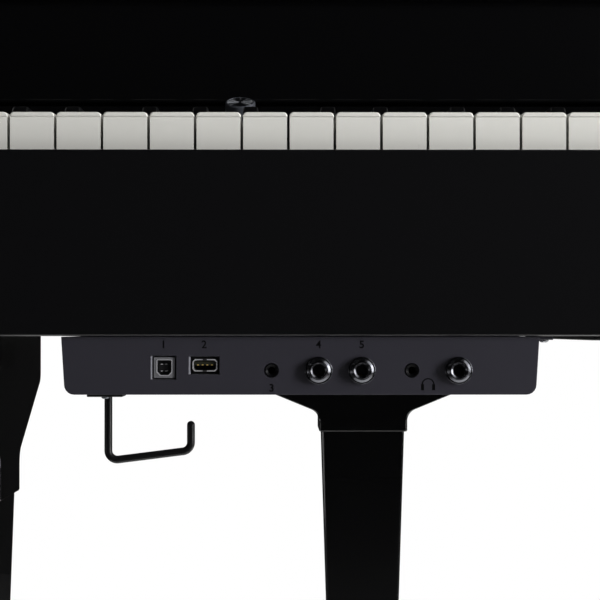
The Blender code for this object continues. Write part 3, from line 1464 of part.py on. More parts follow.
def make_main_board():
    """The main circuit board on standoffs, with its chips and connectors."""
    width, depth, thickness = MAIN_BOARD
    cx, cy = MAIN_BOARD_PLACE
    base = BOARD_TOP + SEAT_GAP + STANDOFF_HEIGHT
    low = (cx - width / 2, cy - depth / 2, base)
    high = (cx + width / 2, cy + depth / 2, base + thickness)
    board = block("board", low, high)
    top = base + thickness + STEP
    for dx, dy, chip_w, chip_d, chip_h in (
        (-0.060, 0.010, 0.028, 0.028, 0.0016),
        (0.010, 0.020, 0.020, 0.020, 0.0016),
        (0.070, -0.030, 0.014, 0.034, 0.011),
        (-0.020, -0.050, 0.060, 0.010, 0.009),
    ):
        low = (cx + dx - chip_w / 2, cy + dy - chip_d / 2, top - 2 * STEP)
        high = (cx + dx + chip_w / 2, cy + dy + chip_d / 2, top + chip_h)
        boolean(board, block("chip", low, high), "UNION")
    for side_x in (-1, 1):
        for side_y in (-1, 1):
            x = cx + side_x * (width / 2 - 0.008)
            y = cy + side_y * (depth / 2 - 0.008)
            foot = (x, y, BOARD_TOP + SEAT_GAP)
            head = (x, y, base + thickness / 2)
            standoff = rod("standoff", foot, head, 0.0035, 8)
            boolean(board, standoff, "UNION")
    return finished(board, "main_board", CIRCUIT_GREEN)


def make_power_supply():
    """The power supply in its ribbed metal case."""
    width, depth, height = SUPPLY_BOX
    cx, cy = SUPPLY_PLACE
    base = BOARD_TOP + SEAT_GAP
    case = block(
        "case",
        (cx - width / 2, cy - depth / 2, base),
        (cx + width / 2, cy + depth / 2, base + height),
        0.002,
        2,
    )
    pitch = width / 12
    for i in range(-3, 4):
        x = cx + i * pitch
        slot = block(
            "slot",
            (x - pitch * 0.2, cy - depth * 0.34, base + height - 0.0015),
            (x + pitch * 0.2, cy + depth * 0.34, base + height + 0.002),
        )
        boolean(case, slot)
    return finished(case, "power_supply", STEEL)


def make_power_inlet():
    """The inlet for the power cord under the back of the case: a shrouded two-pin socket."""
    x, y = INLET_PLACE
    width, depth, height = INLET_SIZE
    top = CASE_BOTTOM - SEAT_GAP
    low = (x - width / 2, y - depth / 2, top - height)
    high = (x + width / 2, y + depth / 2, top)
    shell = block("shell", low, high, 0.002, 2)
    wall = 0.006
    well = soft_box(width - 2 * wall, height - 2 * wall, 0.0035)
    place = Matrix.Translation((x, y + depth / 2, top - height / 2)) @ FRONT_VIEW
    boolean(shell, flat_solid("well", well, 2 * depth * 0.55, place))
    for side in (-1, 1):
        pin_x = x + side * 0.005
        start = (pin_x, y - depth * 0.20, top - height / 2)
        end = (pin_x, y + depth * 0.28, top - height / 2)
        boolean(shell, rod("inlet_pin", start, end, 0.0011, 8), "UNION")
    return finished(shell, "power_inlet", SATIN_BLACK)


def make_bottom_cover():
    """A thin cover plate screwed under the bottom board."""
    low = (COVER_X[0], KEY_FRONT + COVER_SETBACK[0], CASE_BOTTOM - SEAT_GAP - COVER_THICKNESS)
    high = (COVER_X[1], KEY_FRONT + COVER_SETBACK[1], CASE_BOTTOM - SEAT_GAP)
    return finished(block("cover", low, high, 0.0006, 1), "bottom_cover", SATIN_BLACK)


def build_piano():
    """Makes every piece of the piano."""
    make_rim()
    make_bottom_board()
    make_inner_deck()
    make_apron()
    make_keyslip()
    make_cheek_blocks()
    make_key_chassis()
    make_keys()
    make_control_panel()
    make_volume_knob()
    make_power_button()
    make_fallboard()
    make_music_desk()
    make_lid()
    make_lid_hinge()
    make_lid_prop()
    make_jack_box()
    make_jack_sleeves()
    make_mini_jacks()
    make_usb_ports()
    make_headphone_hook()
    make_legs()
    make_lyre()
    make_pedals()
    make_speakers()
    make_speaker_grilles()
    make_main_board()
    make_power_supply()
    make_power_inlet()
    make_bottom_cover()


build_piano()
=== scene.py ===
"""Look-development scene for a small black digital grand piano.

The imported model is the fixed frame. This script shows every node of it in a procedural finish,
nearly all of them as pieces with eased edges in the node's place, adds the small pieces that a
close view shows, and sets the camera and studio light.
"""

import json
import logging
import math
from dataclasses import dataclass
from enum import Enum
from typing import Iterable, Optional, Sequence

import bmesh
import bpy
from bmesh.types import BMesh
from mathutils import Matrix, Vector

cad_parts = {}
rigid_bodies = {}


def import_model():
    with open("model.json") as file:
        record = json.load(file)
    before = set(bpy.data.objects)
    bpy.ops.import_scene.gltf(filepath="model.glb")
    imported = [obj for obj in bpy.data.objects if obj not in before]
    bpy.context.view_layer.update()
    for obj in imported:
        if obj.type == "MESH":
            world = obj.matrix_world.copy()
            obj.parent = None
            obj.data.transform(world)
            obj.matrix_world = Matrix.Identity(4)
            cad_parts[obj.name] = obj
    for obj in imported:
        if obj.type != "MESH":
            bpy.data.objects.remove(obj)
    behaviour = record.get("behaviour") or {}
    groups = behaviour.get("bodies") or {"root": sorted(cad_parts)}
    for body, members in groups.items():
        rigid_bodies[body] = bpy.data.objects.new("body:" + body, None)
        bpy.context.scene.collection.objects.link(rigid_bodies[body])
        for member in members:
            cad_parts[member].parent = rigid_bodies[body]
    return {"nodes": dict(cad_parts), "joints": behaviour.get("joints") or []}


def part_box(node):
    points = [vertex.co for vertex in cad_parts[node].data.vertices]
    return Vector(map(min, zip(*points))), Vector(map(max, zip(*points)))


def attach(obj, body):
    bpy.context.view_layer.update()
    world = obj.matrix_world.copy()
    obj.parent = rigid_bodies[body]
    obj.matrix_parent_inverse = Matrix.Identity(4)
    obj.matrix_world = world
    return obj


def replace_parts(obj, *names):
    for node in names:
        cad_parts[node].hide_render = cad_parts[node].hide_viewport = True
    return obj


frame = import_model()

LOG = logging.getLogger("digital_grand_piano")
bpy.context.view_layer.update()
MILLIMETRE = 0.001
CASE_BODY = "case"
FRONT_TURN = Matrix.Rotation(math.pi / 2, 4, "X")
# Edges sharper than this are rounded, with so many faces
BEVEL_FROM = math.radians(30.0)
BEVEL_STEPS = 2
# A copied node's edges stay sharp from this many degrees on
COPY_SMOOTH = 26.0
# Points nearer than this are one point, and faces flatter to each other than this are one face
WELD = 1e-6
FLAT = math.radians(0.3)


class Axis(Enum):
    """The direction along which a pattern is drawn out."""

    ACROSS = (1.0, 0.04, 1.0)
    ALONG = (0.04, 1.0, 1.0)
    EVEN = (1.0, 1.0, 1.0)


def linear(colour: str) -> tuple[float, float, float, float]:
    """Turns an sRGB hex colour to linear light.

    Args:
        colour: Six hex digits.

    Returns:
        Red, green, blue and an alpha of one.
    """
    parts = [int(colour[i : i + 2], 16) / 255 for i in (0, 2, 4)]
    red, green, blue = (c / 12.92 if c <= 0.04045 else ((c + 0.055) / 1.055) ** 2.4 for c in parts)
    return red, green, blue, 1.0


def add_node(
    tree: bpy.types.NodeTree,
    kind: str,
    settings: Optional[dict] = None,
    values: Optional[dict] = None,
    links: Optional[dict] = None,
) -> bpy.types.Node:
    """Adds a node to a tree.

    Args:
        tree: The tree that gets the node.
        kind: The node's type.
        settings: Properties of the node, by name.
        values: Values of its input sockets, by name or number.
        links: Output sockets that feed its inputs, by name or number.

    Returns:
        The new node.
    """
    node = tree.nodes.new(kind)
    for name, value in (settings or {}).items():
        setattr(node, name, value)
    for name, value in (values or {}).items():
        node.inputs[name].default_value = value
    for name, socket in (links or {}).items():
        tree.links.new(socket, node.inputs[name])
    return node


@dataclass(frozen=True)
class Finish:
    """What a surface is made of, with one fine pattern over it.

    Args:
        name: The material's name.
        colour: Its sRGB hex colour.
        roughness: How far it scatters a reflection.
        metallic: One for bare metal.
        second: The colour of the pattern's other end, or none where the colour is even.
        grain_mm: The size of one grain of the pattern.
        drawn: The direction in which the grain is drawn out.
        relief: How strong the grain's bump is.
        relief_mm: How high the grain stands.
        roughness_swing: How far the grain changes the roughness.
        coat: The weight of a clear coat.
        coat_roughness: The clear coat's roughness.
        specular: How strong the reflection is, where a half is plain.
        ior: The index of refraction, or none for the default.
    """

    name: str
    colour: str
    roughness: float
    metallic: float = 0.0
    second: Optional[str] = None
    grain_mm: float = 1.0
    drawn: Axis = Axis.EVEN
    relief: float = 0.0
    relief_mm: float = 0.05
    roughness_swing: float = 0.0
    coat: float = 0.0
    coat_roughness: float = 0.03
    specular: float = 0.5
    ior: Optional[float] = None

    def material(self) -> bpy.types.Material:
        """Makes the material once, and gives the same one after that.

        Returns:
            The material.
        """
        made = bpy.data.materials.get(self.name)
        if made is not None:
            return made
        made = bpy.data.materials.new(self.name)
        made.use_nodes = True
        tree = made.node_tree
        tree.nodes.clear()
        shader = add_node(
            tree,
            "ShaderNodeBsdfPrincipled",
            values={
                "Base Color": linear(self.colour),
                "Roughness": self.roughness,
                "Metallic": self.metallic,
                "Coat Weight": self.coat,
                "Coat Roughness": self.coat_roughness,
                "Specular IOR Level": self.specular,
            },
        )
        if self.ior is not None:
            shader.inputs["IOR"].default_value = self.ior
        add_node(tree, "ShaderNodeOutputMaterial", links={"Surface": shader.outputs["BSDF"]})
        self.add_grain(tree, shader)
        return made

    def add_grain(self, tree: bpy.types.NodeTree, shader: bpy.types.Node) -> None:
        """Adds the fine pattern to colour, roughness and bump.

        Args:
            tree: The material's nodes.
            shader: Its shader.
        """
        place = add_node(tree, "ShaderNodeTexCoord")
        stretch = add_node(
            tree,
            "ShaderNodeMapping",
            values={"Scale": self.drawn.value},
            links={"Vector": place.outputs["Object"]},
        )
        grain = add_node(
            tree,
            "ShaderNodeTexNoise",
            values={"Scale": 1.0 / (self.grain_mm * MILLIMETRE), "Detail": 3.0},
            links={"Vector": stretch.outputs["Vector"]},
        )
        if self.second is not None:
            blend = add_node(
                tree,
                "ShaderNodeMix",
                settings={"data_type": "RGBA"},
                values={6: linear(self.colour), 7: linear(self.second)},
                links={0: grain.outputs["Fac"]},
            )
            tree.links.new(blend.outputs[2], shader.inputs["Base Color"])
        if self.roughness_swing > 0.0:
            swing = add_node(
                tree,
                "ShaderNodeMapRange",
                values={
                    "From Min": 0.25,
                    "From Max": 0.75,
                    "To Min": max(0.0, self.roughness - self.roughness_swing),
                    "To Max": self.roughness + self.roughness_swing,
                },
                links={"Value": grain.outputs["Fac"]},
            )
            tree.links.new(swing.outputs["Result"], shader.inputs["Roughness"])
        if self.relief > 0.0:
            bump = add_node(
                tree,
                "ShaderNodeBump",
                values={"Strength": self.relief, "Distance": self.relief_mm * MILLIMETRE},
                links={"Height": grain.outputs["Fac"]},
            )
            tree.links.new(bump.outputs["Normal"], shader.inputs["Normal"])


@dataclass(frozen=True)
class SunrayFinish(Finish):
    """A metal face brushed outward from its middle, with the highlights of that brushing painted into its
    colour as light spokes.

    Args:
        spokes: How many painted highlight spokes go round it.
        fans: How many broad fans of painted highlight they are gathered in.
        fan_wave: Where the wave across a fan begins to paint its spokes bright and where it paints them
            fully bright.
        spoke_noise: The noise values at which a painted spoke is dark and bright.
    """

    spokes: float = 19.0
    fans: float = 2.0
    fan_wave: tuple[float, float] = (-0.5, 0.7)
    spoke_noise: tuple[float, float] = (0.48, 0.66)

    def add_grain(self, tree: bpy.types.NodeTree, shader: bpy.types.Node) -> None:
        """Paints the spokes of highlight into the colour.

        Args:
            tree: The material's nodes.
            shader: Its shader.
        """
        place = add_node(tree, "ShaderNodeTexCoord")
        centred = add_node(
            tree,
            "ShaderNodeMapping",
            values={"Location": (-0.5, -0.5, 0.0)},
            links={"Vector": place.outputs["Generated"]},
        )
        angle = add_node(
            tree,
            "ShaderNodeTexGradient",
            settings={"gradient_type": "RADIAL"},
            links={"Vector": centred.outputs["Vector"]},
        )
        spokes = add_node(
            tree,
            "ShaderNodeTexNoise",
            settings={"noise_dimensions": "1D"},
            values={"Scale": 2.0 * self.spokes, "Detail": 2.0},
            links={"W": angle.outputs["Fac"]},
        )
        turns = add_node(
            tree,
            "ShaderNodeMath",
            settings={"operation": "MULTIPLY"},
            values={1: 2.0 * math.pi * self.fans},
            links={0: angle.outputs["Fac"]},
        )
        # The cosine brightens two opposite fans of spokes: a painted bow-tie highlight.
        wave = add_node(
            tree, "ShaderNodeMath", settings={"operation": "COSINE"}, links={0: turns.outputs[0]}
        )
        reach = add_node(
            tree,
            "ShaderNodeMapRange",
            values={"From Min": self.fan_wave[0], "From Max": self.fan_wave[1]},
            links={"Value": wave.outputs[0]},
        )
        bright = add_node(
            tree,
            "ShaderNodeMapRange",
            values={"From Min": self.spoke_noise[0], "From Max": self.spoke_noise[1]},
            links={"Value": spokes.outputs["Fac"]},
        )
        share = add_node(
            tree,
            "ShaderNodeMath",
            settings={"operation": "MULTIPLY"},
            links={0: reach.outputs["Result"], 1: bright.outputs["Result"]},
        )
        blend = add_node(
            tree,
            "ShaderNodeMix",
            settings={"data_type": "RGBA"},
            values={6: linear(self.colour), 7: linear(self.second)},
            links={0: share.outputs[0]},
        )
        tree.links.new(blend.outputs[2], shader.inputs["Base Color"])


class Finishes:
    """Every finish of the instrument."""

    # Black polyester sprayed thick under a buffed clear coat: a mirror, with a faint haze below it.
    lacquer = Finish(
        "polyester_lacquer_buffed", "050506", 0.26, second="060607", grain_mm=9.0,
        roughness_swing=0.01, relief=0.02, relief_mm=0.02, coat=1.0, coat_roughness=0.03, ior=1.50,
    )
    # The same lacquer on the keyslip, a little hazy, and painted paler as painted light on its face.
    slip_lacquer = Finish(
        "polyester_lacquer_hazed", "0B0B0C", 0.30, second="0D0D0F", grain_mm=9.0,
        roughness_swing=0.01, relief=0.02, relief_mm=0.02, coat=1.0, coat_roughness=0.03, ior=1.50,
    )
    # Satin lacquer on board: black with a low soft sheen, for faces inside the case.
    satin_board = Finish(
        "satin_lacquered_board", "121213", 0.42, second="171718", grain_mm=1.6,
        roughness_swing=0.06, relief=0.12, relief_mm=0.03,
    )
    # Acrylic key cover, moulded and lightly polished: warm white with a soft reflection.
    key_cover = Finish(
        "moulded_acrylic_key_cover", "E0DFD9", 0.30, second="DEDDD7", grain_mm=6.0,
        roughness_swing=0.03, relief=0.03, relief_mm=0.02, coat=0.15, coat_roughness=0.12, ior=1.49,
    )
    # Phenolic sharp, moulded with a fine grain along its length: near black and nearly matt.
    sharp = Finish(
        "moulded_phenolic_sharp", "070708", 0.34, second="0A0A0B", grain_mm=0.5, drawn=Axis.ALONG,
        roughness_swing=0.05, relief=0.10, relief_mm=0.03, specular=0.2,
    )
    # ABS housing with a spark-eroded mould texture: charcoal, and a wide dull highlight.
    housing = Finish(
        "textured_abs_housing", "2A2930", 0.43, second="2E2D34", grain_mm=0.35,
        roughness_swing=0.05, relief=0.16, relief_mm=0.03,
    )
    # Pad-printed ink: a shade darker than the housing under it.
    ink = Finish(
        "pad_printed_ink", "040405", 0.60, second="060607", grain_mm=0.2,
        roughness_swing=0.03, relief=0.05, relief_mm=0.01, specular=0.15,
    )
    # Nylon socket body, moulded: black, slightly shiny.
    socket_plastic = Finish(
        "moulded_nylon_socket", "161617", 0.34, second="1B1B1C", grain_mm=0.8,
        roughness_swing=0.04, relief=0.05, relief_mm=0.02,
    )
    # Grey connector insert, moulded in a filled plastic.
    insert_plastic = Finish(
        "moulded_connector_insert", "646468", 0.46, second="5C5C60", grain_mm=0.6,
        roughness_swing=0.04, relief=0.05, relief_mm=0.02,
    )
    # Turned brass nut plated in dark nickel: fine rings and a smoky mirror.
    dark_nickel = Finish(
        "dark_nickel_turned_nut", "8A8B91", 0.24, metallic=1.0, second="7E7F85", grain_mm=0.3,
        roughness_swing=0.04,
    )
    # Anodised aluminium with a sunray brushing, whose bow-tie highlights are painted into the colour as
    # light and dark spokes
    # that fan out from its middle: painted highlight, so it shows in any light.
    spun_aluminium = SunrayFinish(
        "sunray_brushed_aluminium", "0A0B0E", 0.40, metallic=0.1, second="DCE0E8"
    )
    # The same aluminium turned straight along its side: an even grey-blue sheen.
    turned_aluminium = Finish(
        "turned_anodised_aluminium", "62656C", 0.34, metallic=0.4, second="44474E", grain_mm=0.25,
        roughness_swing=0.05,
    )
    # Nickel-plated steel sheet, pressed: bright, with a faint rolled grain.
    nickel_steel = Finish(
        "nickel_plated_steel_sheet", "B9BABD", 0.26, metallic=1.0, second="A9AAAE", grain_mm=0.5,
        drawn=Axis.ACROSS, roughness_swing=0.05,
    )
    # Satin nickel shell of a connector: pale and soft, so its thin edge shows against the dark.
    satin_nickel = Finish(
        "satin_nickel_shell", "B4B4B8", 0.45, metallic=0.4, second="A8A8AC", grain_mm=0.4,
        roughness_swing=0.04,
    )
    # Thermoplastic bed under the contacts: dark olive and dull.
    contact_bed = Finish(
        "moulded_contact_bed", "1D1E15", 0.50, second="232419", grain_mm=0.4, roughness_swing=0.04,
    )
    # Moulded frame round a square socket, painted a paler grey than the housing as painted highlight, so
    # its lit side shows as a bright line.
    socket_frame = Finish(
        "moulded_socket_frame", "66666C", 0.42, second="5E5E64", grain_mm=0.4, roughness_swing=0.04,
    )
    # Glossy nylon of a small jack: black, with one sharp glint.
    gloss_nylon = Finish(
        "polished_nylon_jack", "050506", 0.30, second="08080A", grain_mm=0.6, roughness_swing=0.03,
        specular=0.12,
    )
    # Zinc-plated steel, barrel plated: duller and a little blue.
    zinc_steel = Finish(
        "zinc_plated_steel", "9A9DA3", 0.38, metallic=1.0, second="8B8F96", grain_mm=1.2,
        roughness_swing=0.07,
    )
    # Gold-flashed contact spring: a small warm glint.
    gold_contact = Finish(
        "gold_flashed_contact", "D8C07A", 0.40, metallic=0.5, second="C9A55C", grain_mm=0.3,
        roughness_swing=0.04,
    )
    # Brass, cast and hand polished: warm yellow with soft wear.
    polished_brass = Finish(
        "polished_cast_brass", "C9A24B", 0.17, metallic=1.0, second="BD953F", grain_mm=3.0,
        roughness_swing=0.06,
    )
    # Steel wire with baked black paint: dark, with a narrow line of light.
    painted_wire = Finish(
        "baked_black_paint_on_wire", "0F0F10", 0.30, second="131314", grain_mm=0.7,
        roughness_swing=0.04, relief=0.06, relief_mm=0.02,
    )
    # Powder-coated steel sheet: black with a very fine orange peel.
    powder_coat = Finish(
        "powder_coated_steel_sheet", "151516", 0.50, second="1A1A1B", grain_mm=0.6,
        roughness_swing=0.04, relief=0.20, relief_mm=0.04,
    )
    # Glass-epoxy circuit board under solder mask: dark green, glossy.
    solder_mask = Finish(
        "solder_mask_on_glass_epoxy", "12452C", 0.28, second="0E3B25", grain_mm=1.0,
        roughness_swing=0.05,
    )
    # Matt black blocks over the memory socket's shell at its springs: painted shade that shows them as dark
    # notches.
    chip_epoxy = Finish(
        "moulded_chip_epoxy", "1A1A1C", 0.55, second="202022", grain_mm=0.3, relief=0.05,
        relief_mm=0.01,
    )
    # Pressed paper cone: dark grey with felt-like fibres.
    paper_cone = Finish(
        "pressed_paper_cone", "2B2B2E", 0.85, second="37373B", grain_mm=0.9, relief=0.35,
        relief_mm=0.10,
    )
    # Rubber pad under a leg, moulded: dull black.
    rubber = Finish(
        "moulded_rubber", "1B1B1C", 0.75, second="212122", grain_mm=0.7, relief=0.10,
        relief_mm=0.03,
    )
    # Moulded lens over the pilot light: smoky grey while it is off, with a small glint.
    pilot_lens = Finish(
        "moulded_pilot_lens", "5A5F66", 0.18, second="656A72", grain_mm=0.4, coat=0.6,
    )


@dataclass(frozen=True)
class NodeBox:
    """The lowest and highest corner of a CAD node at rest.

    Args:
        node: The node's name.
    """

    node: str

    @property
    def low(self) -> Vector:
        """Its lowest corner."""
        return Vector(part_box(self.node)[0])

    @property
    def high(self) -> Vector:
        """Its highest corner."""
        return Vector(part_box(self.node)[1])

    @property
    def middle(self) -> Vector:
        """Its middle."""
        return (self.low + self.high) / 2


def dress(node: str, finish: Finish) -> None:
    """Gives a CAD node a finish.

    Args:
        node: The node's name.
        finish: What it is made of.
    """
    mesh = frame["nodes"][node].data
    mesh.materials.clear()
    mesh.materials.append(finish.material())


def add_piece(
    name: str,
    bm: BMesh,
    finish: Finish,
    body: str = CASE_BODY,
    smooth_angle: float = 35.0,
    bevel: float = 0.0,
) -> bpy.types.Object:
    """Turns a bmesh into a finished piece that rides on a body.

    Args:
        name: The piece's name.
        bm: Its mesh, in world places.
        finish: What it is made of.
        body: The body it rides on.
        smooth_angle: Edges sharper than this many degrees stay sharp.
        bevel: How far its edges are rounded.

    Returns:
        The piece.
    """
    bmesh.ops.recalc_face_normals(bm, faces=bm.faces)
    mesh = bpy.data.meshes.new(name)
    bm.to_mesh(mesh)
    bm.free()
    piece = bpy.data.objects.new(name, mesh)
    bpy.context.scene.collection.objects.link(piece)
    mesh.materials.append(finish.material())
    if bevel > 0.0:
        edge = piece.modifiers.new("edge", "BEVEL")
        edge.width = bevel
        edge.segments = BEVEL_STEPS
        edge.limit_method = "ANGLE"
        edge.angle_limit = BEVEL_FROM
        edge.harden_normals = True
    mesh.shade_smooth()
    mesh.set_sharp_from_angle(angle=math.radians(smooth_angle))
    weights = piece.modifiers.new("flat_faces_stay_flat", "WEIGHTED_NORMAL")
    weights.keep_sharp = True
    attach(piece, body)
    LOG.info("%s: %s, on %s", name, finish.name, body)
    return piece


def node_shape(node: str) -> BMesh:
    """Copies a CAD node's shape, with each flat face made whole again.

    Args:
        node: The node's name.

    Returns:
        The copy.
    """
    bm = bmesh.new()
    bm.from_mesh(frame["nodes"][node].data)
    bmesh.ops.remove_doubles(bm, verts=bm.verts, dist=WELD)
    bmesh.ops.dissolve_limit(bm, angle_limit=FLAT, verts=bm.verts, edges=bm.edges)
    return bm


def refine(
    node: str,
    finish: Finish,
    bevel: float = 0.0006,
    shape: Optional[BMesh] = None,
) -> None:
    """Replaces a CAD node with a copy that has smooth curves and eased edges.

    Args:
        node: The node's name.
        finish: What it is made of.
        bevel: How far its edges are eased.
        shape: The copy, where it was changed first.
    """
    body = frame["nodes"][node].parent.name.removeprefix("body:")
    bm = shape or node_shape(node)
    piece = add_piece("finished_" + node, bm, finish, body, COPY_SMOOTH, bevel)
    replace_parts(piece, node)


def box_into(bm: BMesh, low: Sequence[float], high: Sequence[float]) -> list:
    """Adds a box between two corners.

    Args:
        bm: The mesh that gets it.
        low: Its lowest corner.
        high: Its highest corner.

    Returns:
        Its vertices.
    """
    low, high = Vector(low), Vector(high)
    size = high - low
    place = Matrix.Translation((low + high) / 2) @ Matrix.Diagonal((*size, 1.0))
    return bmesh.ops.create_cube(bm, size=1.0, matrix=place)["verts"]


def ring_into(bm: BMesh, points: Iterable[Sequence[float]]) -> list:
    """Adds one ring of vertices.

    Args:
        bm: The mesh that gets it.
        points: The ring's places.

    Returns:
        The vertices.
    """
    return [bm.verts.new(point) for point in points]


def skin(bm: BMesh, rings: Sequence[list], closed: bool = True, caps: bool = True) -> None:
    """Joins rings of equal length with faces.

    Args:
        bm: The mesh that holds them.
        rings: The rings in order.
        closed: Whether each ring meets its own start.
        caps: Whether the first and last ring are filled.
    """
    count = len(rings[0])
    last = count if closed else count - 1
    for near, far in zip(rings, rings[1:]):
        for i in range(last):
            j = (i + 1) % count
            bm.faces.new((near[i], near[j], far[j], far[i]))
    if caps:
        bm.faces.new(rings[0])
        bm.faces.new(list(reversed(rings[-1])))


def turned_into(
    bm: BMesh, profile: Sequence[tuple[float, float]], place: Matrix, steps: int = 48
) -> None:
    """Adds a turned shape about the local Z axis.

    Args:
        bm: The mesh that gets it.
        profile: Radius and height at each point, from one end to the other.
        place: Where it stands.
        steps: How many faces go round.
    """
    rings = []
    for radius, height in profile:
        points = []
        for i in range(steps):
            angle = 2 * math.pi * i / steps
            points.append(place @ Vector((radius * math.cos(angle), radius * math.sin(angle), height)))
        rings.append(ring_into(bm, points))
    skin(bm, rings, caps=False)
    for ring, (radius, _) in ((rings[0], profile[0]), (rings[-1], profile[-1])):
        if radius < WELD:
            bmesh.ops.pointmerge(bm, verts=ring, merge_co=ring[0].co)
        elif profile[0] != profile[-1]:
            bm.faces.new(ring)


def round_box(width: float, height: float, corner: float, steps: int = 6) -> list[tuple[float, float]]:
    """A rectangle with round corners, about the origin.

    Args:
        width: Its full width.
        height: Its full height.
        corner: Its corner radius.
        steps: How many steps each corner has.

    Returns:
        Its points, anticlockwise.
    """
    points = []
    for turn in range(4):
        sign_x = 1 if turn in (0, 3) else -1
        sign_y = 1 if turn in (0, 1) else -1
        centre_x = sign_x * (width / 2 - corner)
        centre_y = sign_y * (height / 2 - corner)
        for i in range(steps + 1):
            angle = math.pi / 2 * (turn + i / steps)
            points.append((centre_x + corner * math.cos(angle), centre_y + corner * math.sin(angle)))
    return points


def tube_into(
    bm: BMesh, path: Sequence[Sequence[float]], radius: float, steps: int = 12
) -> None:
    """Adds a round tube along a path, with closed ends.

    Args:
        bm: The mesh that gets it.
        path: The path's places.
        radius: The tube's radius.
        steps: How many faces go round.
    """
    places = [Vector(point) for point in path]
    rings = []
    side = None
    for i, place in enumerate(places):
        ahead = (places[min(i + 1, len(places) - 1)] - places[max(i - 1, 0)]).normalized()
        if side is None:
            side = ahead.orthogonal().normalized()
        side = (side - ahead * side.dot(ahead)).normalized()
        over = ahead.cross(side)
        ring = []
        for j in range(steps):
            angle = 2 * math.pi * j / steps
            ring.append(place + radius * (math.cos(angle) * side + math.sin(angle) * over))
        rings.append(ring_into(bm, ring))
    skin(bm, rings)


def arc_points(
    centre: tuple[float, float], radius: float, start: float, end: float, steps: int
) -> list[tuple[float, float]]:
    """Points on an arc.

    Args:
        centre: Its centre.
        radius: Its radius.
        start: Its first angle in degrees.
        end: Its last angle in degrees.
        steps: How many steps it has.

    Returns:
        The points.
    """
    points = []
    for i in range(steps + 1):
        angle = math.radians(start + (end - start) * i / steps)
        points.append((centre[0] + radius * math.cos(angle), centre[1] + radius * math.sin(angle)))
    return points


def face_place(x: float, y: float, z: float) -> Matrix:
    """A place on an upright face that looks towards the player, with local Z pointing out of it.

    Args:
        x: Across.
        y: The face's place in depth.
        z: Height.

    Returns:
        The place.
    """
    return Matrix.Translation((x, y, z)) @ FRONT_TURN


